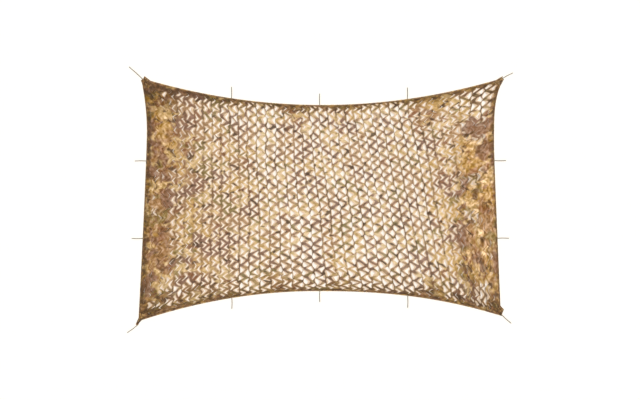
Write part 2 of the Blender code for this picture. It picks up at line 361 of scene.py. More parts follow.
def band_left(y):
    """Where the band's left side lies in the drawn cloth: out at the links, and in half way up the slit."""
    away = min(1.0, abs(y - 0.5) / SLIT_HALF)
    return BAND_LINK + BAND_SWING * (1 - away**GAP_ROUNDNESS)


def drawn_cell_row(y):
    """(flat place, drawn place, height, share of a cut edge) for the seven points across a cell at y."""
    right_slit = up_the_slit(y, 0.5)
    left_slit = up_the_slit(y, 0.0)
    left = band_left(y)
    right = 0.5 - band_left((y + 0.5) % 1)
    lip_root = LIP_ROOT * (right - left)
    strand = STRAND_MIDDLE + STRAND_SWAY * math.cos(math.tau * y)
    cut_left = KNIFE_CUT if right_slit > 0 else 0.0
    cut_middle = KNIFE_CUT if left_slit > 0 else 0.0
    strand_left = strand - STRAND_LIP if left_slit > 0 else right
    strand_right = strand + STRAND_LIP if right_slit > 0 else 1 + left
    band_edges = left - BAND_LIP * right_slit, right + BAND_LIP * left_slit
    hump = FLOOR_GAP + BAND_HUMP
    seat = FLOOR_GAP + STRAND_SEAT
    return (
        (cut_left, band_edges[0], seat + BAND_CURL * right_slit, right_slit),
        (1 / 6, left + lip_root, hump, 0.0),
        (2 / 6, right - lip_root, hump, 0.0),
        (3 / 6 - cut_middle, band_edges[1], seat + BAND_CURL * left_slit, left_slit),
        (3 / 6 + cut_middle, strand_left, seat + STRAND_CURL * left_slit, left_slit),
        (3 / 4, strand, FLOOR_GAP, 0.0),
        (1 - cut_left, strand_right, seat + STRAND_CURL * right_slit, right_slit),
    )


drawn_places = [round(drawn, 2) for flat, drawn, height, on_edge in drawn_cell_row(0.5)]
print("points across the drawn cell, half way up its right slit:", drawn_places)

# %% [markdown]
# The mesh of the cell has a row of those seven points for each step up. There is no face between the fourth
# and the fifth, where one slit is, and the other slit lies between two cells. Where a slit ends, its two
# sides are in one place and are welded later. A point keeps four attributes: how far it moves as its slit
# opens, how far it is shifted while the cloth is shut and lies in its zigzag, how near it is to a cut edge,
# and whether it is on the strand, which is pulled tight when the net is drawn and gets painted shade.

# %% The cell as a mesh
CELL_ROWS = 8
ZIGZAG = 0.29
# The strand's points, and how much painted shade each takes: dark lines down the narrow strands.
STRAND_SHADE_POINTS = {4: 0.5, 5: 1.0, 6: 0.5}
CLOTH_RIGHT_OF = (0, 1, 2, 4, 5)


def cell_piece():
    """The cell as a flat mesh, one unit wide and high, with its drawn shape and cut edges as attributes."""
    cell = bmesh.new()
    opening = cell.verts.layers.float_vector.new("opening")
    zigzag = cell.verts.layers.float.new("zigzag")
    cut_edge = cell.verts.layers.float.new("cut_edge")
    tight = cell.verts.layers.float.new("tight")
    rows = []
    for step in range(CELL_ROWS + 1):
        y = step / CELL_ROWS
        row = []
        for line, (flat, drawn, height, on_edge) in enumerate(drawn_cell_row(y)):
            point = cell.verts.new((flat, y, 0.0))
            point[opening] = (drawn - flat, 0.0, height - FLOOR_GAP)
            point[zigzag] = ZIGZAG * (1 - 4 * abs(y - 0.5))
            point[cut_edge] = min(1.0, 3 * on_edge)
            point[tight] = STRAND_SHADE_POINTS.get(line, 0.0)
            row.append(point)
        rows.append(row)
    for low, high in zip(rows, rows[1:]):
        for line in CLOTH_RIGHT_OF:
            cell.faces.new((low[line], low[line + 1], high[line + 1], high[line]))
    mesh = bpy.data.meshes.new("pattern_cell")
    cell.to_mesh(mesh)
    cell.free()
    return bpy.data.objects.new("pattern_cell", mesh)


pattern_cell = cell_piece()
print("pattern cell:", len(pattern_cell.data.polygons), "faces")

# %% [markdown]
# The drawing out isn't even. The cloth by the two side hems stays almost shut and falls into upright
# pleats, while the middle is drawn wide open. One table says, from left to right, how open the slits are
# and how high the pleats stand. A second one says, from bottom to top, how open they are and how high up
# the net that part of the cloth lies. All their numbers but the pleats are shares, from 0 to 1.

# %% How far the cloth is drawn, across and up
COLUMNS = 38
ROWS = 22
NET_SIZE = (2.95, 1.90)
MIDDLE_STRETCH = 0.20

Drawn = namedtuple("Drawn", "share openness pleats")
ACROSS = (
    Drawn(0.000, 0.00, 0.0),
    Drawn(0.015, 0.00, 0.9),
    Drawn(0.050, 0.00, 1.0),
    Drawn(0.068, 0.05, 0.8),
    Drawn(0.085, 0.24, 0.4),
    Drawn(0.150, 0.29, 0.2),
    Drawn(0.240, 0.44, 0.1),
    Drawn(0.300, 0.68, 0.1),
    Drawn(0.345, 0.85, 0.1),
    Drawn(0.700, 0.90, 0.1),
    Drawn(0.775, 0.84, 0.1),
    Drawn(0.830, 0.68, 0.1),
    Drawn(0.858, 0.50, 0.1),
    Drawn(0.883, 0.31, 0.3),
    Drawn(0.910, 0.12, 0.8),
    Drawn(0.938, 0.00, 1.2),
    Drawn(0.985, 0.00, 1.0),
    Drawn(1.000, 0.00, 0.0),
)
Rise = namedtuple("Rise", "share openness height")
UPWARD = (
    Rise(0.000, 0.06, 0.000),
    Rise(0.022, 0.31, 0.014),
    Rise(0.050, 0.82, 0.034),
    Rise(0.090, 1.00, 0.069),
    Rise(0.240, 1.00, 0.222),
    Rise(0.900, 1.00, 0.897),
    Rise(0.955, 0.78, 0.955),
    Rise(0.982, 0.29, 0.983),
    Rise(1.000, 0.06, 1.000),
)


def share_across(column):
    """The share of the width at a column. Columns are wider in the middle, where the net is drawn open."""
    even = column / COLUMNS
    widening = even - math.sin(math.tau * even) / math.tau
    return (even + MIDDLE_STRETCH / 2 * widening) / (1 + MIDDLE_STRETCH / 2)


widest = share_across(COLUMNS / 2 + 0.5) - share_across(COLUMNS / 2 - 0.5)
print("widest column:", round(1000 * NET_SIZE[0] * widest), "mm")

# %% [markdown]
# A Float Curve node can hold such a table, with a smooth line through its points. It only takes numbers
# from 0 to 1, so the hem lines, which are in metres, are divided by a span that is wider than the net.

# %% Tables and hem lines as Float Curves
HALF_SPAN = 1.6


def draw_curve(curve_node, points):
    """Draws a line through (x, y) points, all from 0 to 1, into a Float Curve node."""
    curve = curve_node.mapping.curves[0]
    while len(curve.points) < len(points):
        curve.points.new(0.5, 0.5)
    for knot, (x, y) in zip(curve.points, points):
        knot.location = (x, y)
        knot.handle_type = "AUTO_CLAMPED"
    curve_node.mapping.update()


def column_knots(count=17):
    """Where the columns lie across the net, as (x, y) points for a Float Curve."""
    return [(i / (count - 1), share_across(COLUMNS * i / (count - 1))) for i in range(count)]


def hem_knots(hem, count=25):
    """A hem line as (x, y) points for a Float Curve: place along it and distance out, both over the span."""
    places = [HALF_SPAN * (2 * i / (count - 1) - 1) for i in range(count)]
    return [((p + HALF_SPAN) / (2 * HALF_SPAN), hem_distance(hem, p) / (2 * HALF_SPAN)) for p in places]


print("points on a hem line:", len(hem_knots(TOP)), "and on the columns' line:", len(column_knots()))

# %% [markdown]
# Nobody pulls a net out quite square. This one was drawn harder towards the right, so there its columns
# lean over and its rows rise. Both shifts are worked out as shares of the net's width and height.
#
# Each corner is drawn in its own way too, so it has a row in a table of its own: how open its slits are,
# how unlike each other, how far along the net both of these reach, how far its gathers fan out, and how far
# its shade goes, the last three in metres.

# %% Pulled askew, and each corner's own pull
LEAN = 0.051
LEAN_POWER = 2.4
RISE = 0.10
RISE_POWER = 5.0

CornerPull = namedtuple("CornerPull", "openness muddle spread gather shade")
CORNER_PULLS = {
    "bottom_left": CornerPull(0.38, 2.5, 0.80, 0.34, 0.46),
    "bottom_right": CornerPull(0.20, 2.2, 0.85, 0.28, 0.46),
    "top_left": CornerPull(0.13, 1.6, 0.40, 0.56, 0.56),
    "top_right": CornerPull(1.00, 0.6, 0.56, 0.14, 0.46),
}


def pulled_askew(tree, across, up):
    """The nodes for where a place across and up the net, both from 0 to 1, goes as it is pulled askew."""
    bend = node(tree, MATH, across, LEAN_POWER, operation="POWER")
    bend = node(tree, MATH, bend, math.pi, operation="MULTIPLY")
    bend = node(tree, MATH, bend, operation="SINE")
    from_middle = node(tree, MATH, up, -2 * LEAN, LEAN, operation="MULTIPLY_ADD")
    leaned = node(tree, MATH, bend, from_middle, across, operation="MULTIPLY_ADD")
    down = node(tree, MATH, 1.0, up, operation="SUBTRACT")
    hump = node(tree, MATH, up, down, operation="MULTIPLY")
    steep = node(tree, MATH, across, RISE_POWER, operation="POWER")
    lift = node(tree, MATH, steep, 4 * RISE, operation="MULTIPLY")
    risen = node(tree, MATH, lift, hump, up, operation="MULTIPLY_ADD")
    return leaned, risen


def by_corner(tree, across, up, column):
    """The nodes for one column of the corners' table, mixed from corner to corner by the place on the net."""
    value = {name: getattr(pull, column) for name, pull in CORNER_PULLS.items()}
    low = node(tree, "ShaderNodeMix", across, None, value["bottom_left"], value["bottom_right"])
    high = node(tree, "ShaderNodeMix", across, None, value["top_left"], value["top_right"])
    return node(tree, "ShaderNodeMix", up, None, low, high)


lean_mm = round(1000 * LEAN * NET_SIZE[0])
print("columns lean by up to", lean_mm, "mm, rows rise by up to", round(1000 * RISE * NET_SIZE[1]), "mm")

# %% [markdown]
# Now the tree that makes the whole cloth. It sets the cell down on every point of a grid and makes the
# copies real, so that their points can move one by one. Cells are welded where their edges meet. Along the
# two long hems, where the hem is sewn across the slits, the slits are welded shut.

# %% Slit cloth tree: the grid of cells
WELD = 0.002
BORDER_WELD = 0.02

cloth_tree, given = new_tree(
    "slit cloth",
    {
        "Cell": "Object",
        "Columns": "Int",
        "Rows": "Int",
        "Cell Width": "Float",
        "Cell Height": "Float",
        "Unevenness": "Float",
        "Wander": "Float",
        "Pleat Height": "Float",
        "Gather Height": "Float",
        "Material": "Material",
    },
)
columns, rows = given.outputs["Columns"], given.outputs["Rows"]
steps_across = node(cloth_tree, MATH, columns, 1.0, operation="SUBTRACT")
steps_up = node(cloth_tree, MATH, rows, 1.0, operation="SUBTRACT")
cells = node(cloth_tree, "GeometryNodeMeshGrid", steps_across, steps_up, columns, rows)
to_corner = node(cloth_tree, "ShaderNodeCombineXYZ", steps_across, steps_up)
to_corner = node(cloth_tree, "ShaderNodeVectorMath", to_corner, (0.5, 0.5, 0.5), operation="MULTIPLY")
cells = node(cloth_tree, "GeometryNodeSetPosition", cells, None, None, to_corner)
one_cell = node(cloth_tree, "GeometryNodeObjectInfo", given.outputs["Cell"]).outputs["Geometry"]
cells = node(cloth_tree, "GeometryNodeInstanceOnPoints", cells, None, one_cell)
cloth = node(cloth_tree, "GeometryNodeRealizeInstances", cells)
cloth = node(cloth_tree, "GeometryNodeMergeByDistance", cloth, None, WELD)

flat = node(cloth_tree, "ShaderNodeSeparateXYZ", node(cloth_tree, "GeometryNodeInputPosition"))
column, row = flat.outputs["X"], flat.outputs["Y"]
to_top = node(cloth_tree, MATH, rows, row, operation="SUBTRACT")
to_long_hem = node(cloth_tree, MATH, row, to_top, operation="MINIMUM")
to_right = node(cloth_tree, MATH, columns, column, operation="SUBTRACT")
to_side_hem = node(cloth_tree, MATH, column, to_right, operation="MINIMUM")
to_any_hem = node(cloth_tree, MATH, to_side_hem, to_long_hem, operation="MINIMUM")
at_long_hem = node(cloth_tree, MATH, to_long_hem, SLIT_HALF, operation="LESS_THAN")
cloth = node(cloth_tree, "GeometryNodeMergeByDistance", cloth, at_long_hem, BORDER_WELD)
print("cells:", COLUMNS * ROWS, "with", 2 * COLUMNS * ROWS, "slits")

# %% [markdown]
# How open a slit is comes from the two long tables, one times the other. The place across is read after the
# net is pulled askew, so that a bend in a column takes its openness along.

# %% Slit cloth tree: what the tables say
even_across = node(cloth_tree, MATH, column, columns, operation="DIVIDE")
share = node(cloth_tree, "ShaderNodeFloatCurve", 1.0, even_across)
draw_curve(share, column_knots())
even_up = node(cloth_tree, MATH, row, rows, operation="DIVIDE")
share, height_share = pulled_askew(cloth_tree, share, even_up)
open_across = node(cloth_tree, "ShaderNodeFloatCurve", 1.0, share)
draw_curve(open_across, [(place.share, place.openness) for place in ACROSS])
open_up = node(cloth_tree, "ShaderNodeFloatCurve", 1.0, even_up)
draw_curve(open_up, [(place.share, place.openness) for place in UPWARD])
openness = node(cloth_tree, MATH, open_across, open_up, operation="MULTIPLY")
print("tables:", len(ACROSS), "places across and", len(UPWARD), "up")

# %% [markdown]
# Towards a corner, the corner's own numbers take over. Each fades out with the distance from the corner.
# For the openness and the shade, a metre up counts as one and a half, because a corner's pull is felt
# further along the long hems than up the short ones.

# %% Slit cloth tree: the corners
STEEPER = 1.5
CornerFade = namedtuple("CornerFade", "column steep start")
CORNER_FADES = (
    CornerFade("gather", False, 0.03),
    CornerFade("spread", True, 0.14),
    CornerFade("shade", True, 0.10),
)
INSIDE_HEM = (0.2, 1.0)

from_side = node(cloth_tree, MATH, share, 0.5, operation="PINGPONG")
from_side = node(cloth_tree, MATH, from_side, NET_SIZE[0], operation="MULTIPLY")
from_long = node(cloth_tree, MATH, height_share, 0.5, operation="PINGPONG")
from_long = node(cloth_tree, MATH, from_long, NET_SIZE[1], operation="MULTIPLY")
from_corner = node(cloth_tree, "ShaderNodeCombineXYZ", from_side, from_long)
from_corner = node(cloth_tree, "ShaderNodeVectorMath", from_corner, operation="LENGTH").outputs["Value"]
from_long_steep = node(cloth_tree, MATH, from_long, STEEPER, operation="MULTIPLY")
steep_corner = node(cloth_tree, "ShaderNodeCombineXYZ", from_side, from_long_steep)
steep_corner = node(cloth_tree, "ShaderNodeVectorMath", steep_corner, operation="LENGTH").outputs["Value"]
fades = {}
for fade in CORNER_FADES:
    distance = steep_corner if fade.steep else from_corner
    fade_end = by_corner(cloth_tree, share, even_up, fade.column)
    fades[fade.column] = node(
        cloth_tree, "ShaderNodeMapRange", distance, fade.start, fade_end, 1.0, 0.0,
        interpolation_type="SMOOTHSTEP",
    )

inside_hem = node(cloth_tree, "ShaderNodeMapRange", to_any_hem, *INSIDE_HEM, 0.0, 1.0)
corner_openness = by_corner(cloth_tree, share, even_up, "openness")
corner_openness = node(cloth_tree, MATH, corner_openness, inside_hem, operation="MULTIPLY")
corner_openness = node(cloth_tree, MATH, corner_openness, fades["spread"], operation="MULTIPLY")
openness = node(cloth_tree, MATH, openness, corner_openness, operation="MAXIMUM")
print("corner fades:", ", ".join(fades))

# %% [markdown]
# No two slits open alike. One noise differs from cell to cell, and another follows the columns, so that a
# few slits one above the other open together. The openings grow more unlike each other towards the hems and
# in most corners. A third noise, with blotches a few cells wide, is only for the wandering further down.
# Each noise is given its scale, its detail and its roughness, in that order.

# %% Slit cloth tree: how unlike each other the openings are
NEAR_NOISE = 1.15
FAR_NOISE = 0.16
LANE_NOISE = 0.30
LANE_ROWS = 0.25
LANE_WEIGHT = 1.6
DISORDER_ROWS = 5.0
DISORDER_AT_HEM = 2.6

near_noise = node(cloth_tree, "ShaderNodeTexNoise", None, None, NEAR_NOISE, 1.0, 0.5, noise_dimensions="2D")
far_noise = node(cloth_tree, "ShaderNodeTexNoise", None, None, FAR_NOISE, 1.0, 0.5, noise_dimensions="2D")
lane_row = node(cloth_tree, MATH, row, LANE_ROWS, operation="MULTIPLY")
lane_places = node(cloth_tree, "ShaderNodeCombineXYZ", column, lane_row)
lane_noise = node(
    cloth_tree, "ShaderNodeTexNoise", lane_places, None, LANE_NOISE, 1.0, 0.5, noise_dimensions="2D"
)
mixed_noise = node(cloth_tree, MATH, lane_noise, LANE_WEIGHT, near_noise, operation="MULTIPLY_ADD")
disorder = node(
    cloth_tree, "ShaderNodeMapRange", to_any_hem, 0.0, DISORDER_ROWS, DISORDER_AT_HEM, 1.0,
    interpolation_type="SMOOTHSTEP",
)
muddle = by_corner(cloth_tree, share, even_up, "muddle")
muddle = node(cloth_tree, "ShaderNodeMix", fades["spread"], None, 1.0, muddle)
muddle = node(cloth_tree, MATH, muddle, disorder, operation="MULTIPLY")
uneven = node(cloth_tree, MATH, mixed_noise, -(1 + LANE_WEIGHT) / 2, operation="ADD")
uneven = node(cloth_tree, MATH, uneven, muddle, operation="MULTIPLY")
uneven = node(cloth_tree, MATH, uneven, given.outputs["Unevenness"], 1.0, operation="MULTIPLY_ADD")
noises = (NEAR_NOISE, LANE_NOISE, FAR_NOISE)
print("blotches of noise, in cells:", [round(0.5 / scale, 1) for scale in noises])

# %% [markdown]
# A few slits stand open where their neighbours are shut. They are picked out by one more noise, where it is
# high. Near a corner that is drawn open it takes less to open one, and it opens wider.

# %% Slit cloth tree: stray open slits
STRAY_NOISE = 0.55
STRAY_LEVEL = 0.62
STRAY_EASIER = -0.40
STRAY_SOFTNESS = 0.12
STRAY_OPENNESS = 0.34
STRAY_WIDER = 2.2

stray_noise = node(cloth_tree, "ShaderNodeTexNoise", None, None, STRAY_NOISE, 0.0, 0.5, noise_dimensions="2D")
stray_from = node(cloth_tree, MATH, corner_openness, STRAY_EASIER, STRAY_LEVEL, operation="MULTIPLY_ADD")
stray_to = node(cloth_tree, MATH, stray_from, STRAY_SOFTNESS, operation="ADD")
stray_most = node(cloth_tree, MATH, corner_openness, STRAY_WIDER, STRAY_OPENNESS, operation="MULTIPLY_ADD")
stray = node(cloth_tree, "ShaderNodeMapRange", stray_noise, stray_from, stray_to, 0.0, stray_most)
stray = node(cloth_tree, MATH, stray, inside_hem, operation="MULTIPLY")
openness = node(cloth_tree, MATH, openness, stray, operation="MAXIMUM")
openness = node(cloth_tree, MATH, openness, uneven, operation="MULTIPLY", use_clamp=True)
print("stray slits open by up to", STRAY_OPENNESS)

# %% [markdown]
# With its openness known, each point is mixed between its shut and its drawn place. Where the slits are
# shut, the columns keep the zigzag that they were cut in. Then everything wanders a little, less so at the
# hems, which are sewn straight.

# %% Slit cloth tree: each point's place across and up the drawn cloth
ZIGZAG_COLUMNS = 1.5
FREE_ROWS = 2.0

opening = node(cloth_tree, "GeometryNodeInputNamedAttribute", "opening", data_type="FLOAT_VECTOR")
opening = node(cloth_tree, "ShaderNodeSeparateXYZ", opening)
zigzag = node(cloth_tree, "GeometryNodeInputNamedAttribute", "zigzag", data_type="FLOAT")
zigzag_fade = node(cloth_tree, "ShaderNodeMapRange", to_side_hem, 0.0, ZIGZAG_COLUMNS, 0.0, 1.0)
zigzag = node(cloth_tree, MATH, zigzag, zigzag_fade, operation="MULTIPLY")
shut = node(cloth_tree, MATH, 1.0, openness, operation="SUBTRACT")
zigzag_left = node(cloth_tree, MATH, zigzag, shut, operation="MULTIPLY")
drawn_column = node(cloth_tree, MATH, opening.outputs["X"], openness, column, operation="MULTIPLY_ADD")
drawn_column = node(cloth_tree, MATH, drawn_column, zigzag_left, operation="ADD")

colours = near_noise.outputs["Color"], far_noise.outputs["Color"]
wander = node(cloth_tree, "ShaderNodeVectorMath", *colours, operation="ADD")
wander = node(cloth_tree, "ShaderNodeVectorMath", wander, (-1.0, -1.0, -1.0), operation="ADD")
wander = node(cloth_tree, "ShaderNodeSeparateXYZ", wander)
free = node(
    cloth_tree, "ShaderNodeMapRange", to_any_hem, 0.0, FREE_ROWS, 0.0, 1.0, interpolation_type="SMOOTHSTEP"
)
half_disorder = node(cloth_tree, MATH, disorder, 0.5, 0.5, operation="MULTIPLY_ADD")
free = node(cloth_tree, MATH, free, half_disorder, operation="MULTIPLY")
free = node(cloth_tree, MATH, free, given.outputs["Wander"], operation="MULTIPLY")
drawn_column = node(cloth_tree, MATH, wander.outputs["X"], free, drawn_column, operation="MULTIPLY_ADD")
drawn_row = node(cloth_tree, MATH, wander.outputs["Y"], free, row, operation="MULTIPLY_ADD")
across = node(cloth_tree, MATH, drawn_column, columns, operation="DIVIDE")
across_share = node(cloth_tree, "ShaderNodeFloatCurve", 1.0, across)
draw_curve(across_share, column_knots())
up = node(cloth_tree, MATH, drawn_row, rows, operation="DIVIDE")
up_share = node(cloth_tree, "ShaderNodeFloatCurve", 1.0, up)
draw_curve(up_share, [(place.share, place.height) for place in UPWARD])
across_share, up_share = pulled_askew(cloth_tree, across_share, up_share)
print("nodes so far:", len(cloth_tree.nodes))

# %% [markdown]
# The flat sheet is then bent to the four hem lines. Where a point lies across depends on how high it is,
# and the other way round, because all four lines are curved. So a repeat zone works both out by turns:
# first across, then up, then across again. Five turns bring it within a fraction of a millimetre.

# %% Slit cloth tree: bent to the hem lines
HEM_WIDTH = 0.010
BEND_TURNS = 5


def hem_line(tree, hem, along, side):
    """The nodes that give where a hem's middle line lies, on that side of the net, at a place along it."""
    knot_place = node(tree, MATH, along, 1 / (2 * HALF_SPAN), 0.5, operation="MULTIPLY_ADD")
    out = node(tree, "ShaderNodeFloatCurve", 1.0, knot_place)
    draw_curve(out, hem_knots(hem))
    return node(tree, MATH, out, side * 2 * HALF_SPAN, -side * HEM_WIDTH / 2, operation="MULTIPLY_ADD")


turn_in = node(cloth_tree, "GeometryNodeRepeatInput")
turn_out = node(cloth_tree, "GeometryNodeRepeatOutput")
turn_in.pair_with_output(turn_out)
turn_out.repeat_items.clear()
turn_out.repeat_items.new("FLOAT", "X")
turn_out.repeat_items.new("FLOAT", "Y")
turn_in.inputs["Iterations"].default_value = BEND_TURNS
left_line = hem_line(cloth_tree, LEFT, turn_in.outputs["Y"], -1)
right_line = hem_line(cloth_tree, RIGHT, turn_in.outputs["Y"], 1)
new_x = node(cloth_tree, "ShaderNodeMix", across_share, None, left_line, right_line, clamp_factor=False)
bottom_line = hem_line(cloth_tree, BOTTOM, new_x, -1)
top_line = hem_line(cloth_tree, TOP, new_x, 1)
new_y = node(cloth_tree, "ShaderNodeMix", up_share, None, bottom_line, top_line, clamp_factor=False)
cloth_tree.links.new(new_x.outputs[0], turn_out.inputs["X"])
cloth_tree.links.new(new_y.outputs[0], turn_out.inputs["Y"])
print("bent in", BEND_TURNS, "turns")

# %% [markdown]
# The heights come next. Cut edges rise with the openness of their slit. Beside the side hems the cloth
# stands in upright pleats, which are lower on the left and are pulled flat where a corner is drawn open.

# %% Slit cloth tree: curled edges and pleats
CURL_POWER = 0.6
CURL_NOISE = (1.4, 0.3)
PLEATS_PER_CELL = 1.75
PLEAT_NOISE = 0.8
PLEAT_NOISE_ROWS = 0.8
PLEAT_WANDER = 1.3
PLEAT_RISE_ROWS = 1.6
PULLED_FLAT = -2.5
LEFT_PLEATS = 0.6

curl = node(cloth_tree, MATH, openness, CURL_POWER, operation="POWER")
curl_noise = node(cloth_tree, MATH, near_noise, *CURL_NOISE, operation="MULTIPLY_ADD")
curl = node(cloth_tree, MATH, curl, curl_noise, operation="MULTIPLY")
height = node(cloth_tree, MATH, opening.outputs["Z"], curl, FLOOR_GAP, operation="MULTIPLY_ADD")

pleat_share = node(cloth_tree, "ShaderNodeFloatCurve", 1.0, share)
draw_curve(pleat_share, [(place.share, place.pleats) for place in ACROSS])
pleat_row = node(cloth_tree, MATH, row, PLEAT_NOISE_ROWS, operation="MULTIPLY")
pleat_places = node(cloth_tree, "ShaderNodeCombineXYZ", column, pleat_row)
pleat_noise = node(
    cloth_tree, "ShaderNodeTexNoise", pleat_places, None, PLEAT_NOISE, 1.5, 0.5, noise_dimensions="2D"
)
pleat_turn = node(cloth_tree, MATH, pleat_noise, PLEAT_WANDER * 2, operation="MULTIPLY")
pleat_turn = node(cloth_tree, MATH, column, PLEATS_PER_CELL, pleat_turn, operation="MULTIPLY_ADD")
pleat_angle = node(cloth_tree, MATH, pleat_turn, math.tau, operation="MULTIPLY")
pleat_wave = node(cloth_tree, MATH, pleat_angle, operation="SINE")
pleat_rise = node(
    cloth_tree, "ShaderNodeMapRange", to_long_hem, 0.0, PLEAT_RISE_ROWS, 0.0, 1.0,
    interpolation_type="SMOOTHSTEP",
)
pleat_depth = node(cloth_tree, MATH, pleat_share, pleat_rise, operation="MULTIPLY")
pulled_flat = node(
    cloth_tree, MATH, corner_openness, PULLED_FLAT, 1.0, operation="MULTIPLY_ADD", use_clamp=True
)
pleat_depth = node(cloth_tree, MATH, pleat_depth, pulled_flat, operation="MULTIPLY")
pleat = node(cloth_tree, MATH, pleat_wave, 0.5, 0.5, operation="MULTIPLY_ADD")
pleat = node(cloth_tree, MATH, pleat, pleat_depth, operation="MULTIPLY")
pleat_side = node(cloth_tree, MATH, share, 1 - LEFT_PLEATS, LEFT_PLEATS, operation="MULTIPLY_ADD")
pleat = node(cloth_tree, MATH, pleat, pleat_side, operation="MULTIPLY")
height = node(cloth_tree, MATH, pleat, given.outputs["Pleat Height"], height, operation="MULTIPLY_ADD")
print("pleats:", PLEATS_PER_CELL, "to a column")

# %% [markdown]
# Every corner is gathered into folds that fan out from it. They die away at the hems, which lie flat on the
# floor. Last, a soft ceiling keeps the highest folds from standing up out of the net.

# %% Slit cloth tree: gathers
GATHER_FOLDS = 4.0
GATHER_RISE = (0.05, 0.12)
HIGHEST = 0.0225
CEILING_SOFTNESS = 0.003

fan = node(cloth_tree, MATH, from_long, from_side, operation="ARCTAN2")
fan_turn = node(cloth_tree, MATH, fan, 4 * GATHER_FOLDS, operation="MULTIPLY")
fan_wave = node(cloth_tree, MATH, fan_turn, operation="COSINE")
fan_wave = node(cloth_tree, MATH, fan_wave, -0.5, 0.5, operation="MULTIPLY_ADD")
off_tip = node(cloth_tree, "ShaderNodeMapRange", from_corner, *GATHER_RISE, 0.0, 1.0)
gather_depth = node(cloth_tree, MATH, fades["gather"], off_tip, operation="MULTIPLY")
gather = node(cloth_tree, MATH, fan_wave, fades["gather"], operation="MULTIPLY")
gather = node(cloth_tree, MATH, gather, off_tip, operation="MULTIPLY")
height = node(cloth_tree, MATH, gather, given.outputs["Gather Height"], height, operation="MULTIPLY_ADD")
height = node(cloth_tree, MATH, height, HIGHEST, CEILING_SOFTNESS, operation="SMOOTH_MIN")
drawn_place = node(cloth_tree, "ShaderNodeCombineXYZ", turn_out.outputs["X"], turn_out.outputs["Y"], height)
print("folds fan out of each corner, up to", 1000 * HIGHEST, "mm high")

# %% [markdown]
# The dye needs to know the folds too, for painted light: a ridge gets a painted highlight and a valley
# painted shade. So one attribute says how far a point stands out, and another how crumpled the cloth is
# there. The looser pleats on the right get the most painted highlight.

# %% Slit cloth tree: folds for the painted light
# How far the painted highlight raises the folds of the pleats on the right.
RIGHT_RIDGE_HIGHLIGHT = 0.65
RIGHT_RIDGE_HIGHLIGHT_POWER = 4.0
CRUMPLED = (0.20, 0.70)

# How far a point stands out, for painted highlights on ridges and painted shade in valleys.
gather_side = node(cloth_tree, MATH, fan_wave, 2.0, -1.0, operation="MULTIPLY_ADD")
fold = node(cloth_tree, MATH, gather_side, gather_depth, operation="MULTIPLY")
fold = node(cloth_tree, MATH, pleat_wave, pleat_depth, fold, operation="MULTIPLY_ADD")
right_ridge_highlight = node(cloth_tree, MATH, share, RIGHT_RIDGE_HIGHLIGHT_POWER, operation="POWER")
right_ridge_highlight = node(cloth_tree, MATH, right_ridge_highlight, pleat_depth, operation="MULTIPLY")
fold = node(cloth_tree, MATH, right_ridge_highlight, RIGHT_RIDGE_HIGHLIGHT, fold, operation="MULTIPLY_ADD")
crumpled = node(cloth_tree, MATH, share, *CRUMPLED, operation="MULTIPLY_ADD")
crumpled = node(cloth_tree, MATH, crumpled, pleat_depth, operation="MULTIPLY")
crumpled = node(cloth_tree, MATH, crumpled, gather_depth, operation="MAXIMUM")
print("rubbing reaches", RIGHT_RIDGE_HIGHLIGHT, "of a fold on the right and none on the left")

# %% [markdown]
# Painted shade darkens the close folds of the corners and the cloth beside the hems, and it reaches furthest
# up from the bottom hem. The painted highlight on the curled lip of a slit shows only once the slit is open,
# and so does the painted shade on the narrow strand beside it.

# %% Slit cloth tree: painted shade, lip highlights and strand shade for the dye
HEM_SHADE = 0.88
HEM_SHADE_ROWS = (0.1, 1.6)
BOTTOM_SHADE = 0.82
BOTTOM_SHADE_ROWS = 4.5
LEFT_SHADE_COLUMNS = 1.1
RIGHT_SHADE_COLUMNS = 0.5
# How open a slit must be for the painted highlight on its cut edge to show.
LIP_SHOWS = (0.06, 0.42)

lip = node(cloth_tree, "GeometryNodeInputNamedAttribute", "cut_edge", data_type="FLOAT")
lip_shows = node(
    cloth_tree, "ShaderNodeMapRange", openness, *LIP_SHOWS, 0.0, 1.0, interpolation_type="SMOOTHSTEP"
)
lip = node(cloth_tree, MATH, lip, lip_shows, operation="MULTIPLY")
# Painted shade on the narrow strand, stronger as its slits open.
strand_shade_share = node(cloth_tree, "GeometryNodeInputNamedAttribute", "tight", data_type="FLOAT")
strand_shade_share = node(cloth_tree, MATH, strand_shade_share, openness, operation="MULTIPLY")
near_long = node(
    cloth_tree, "ShaderNodeMapRange", to_long_hem, *HEM_SHADE_ROWS, HEM_SHADE, 0.0,
    interpolation_type="SMOOTHSTEP",
)
near_bottom = node(cloth_tree, "ShaderNodeMapRange", row, 0.0, BOTTOM_SHADE_ROWS, BOTTOM_SHADE, 0.0)
near_long = node(cloth_tree, MATH, near_long, near_bottom, operation="MAXIMUM")
side_shade_end = node(cloth_tree, "ShaderNodeMix", share, None, LEFT_SHADE_COLUMNS, RIGHT_SHADE_COLUMNS)
near_side = node(
    cloth_tree, "ShaderNodeMapRange", to_side_hem, 0.0, side_shade_end, 1.0, 0.0,
    interpolation_type="SMOOTHSTEP",
)
near_hem = node(cloth_tree, MATH, near_long, near_side, operation="MAXIMUM")
# All the painted shade: in the corners' folds, beside the hems, and up from the bottom hem.
in_shade = node(cloth_tree, MATH, fades["shade"], near_hem, operation="MAXIMUM")
print("shade reaches", BOTTOM_SHADE_ROWS, "rows up from the bottom hem")

# %% [markdown]
# All of this is stored on the cloth's points by name, for the material to read, together with each point's
# place on the flat cloth, which the print follows. Only then do the points move. The tree ends as every
# tree here does: it makes all copies real and sets the material.

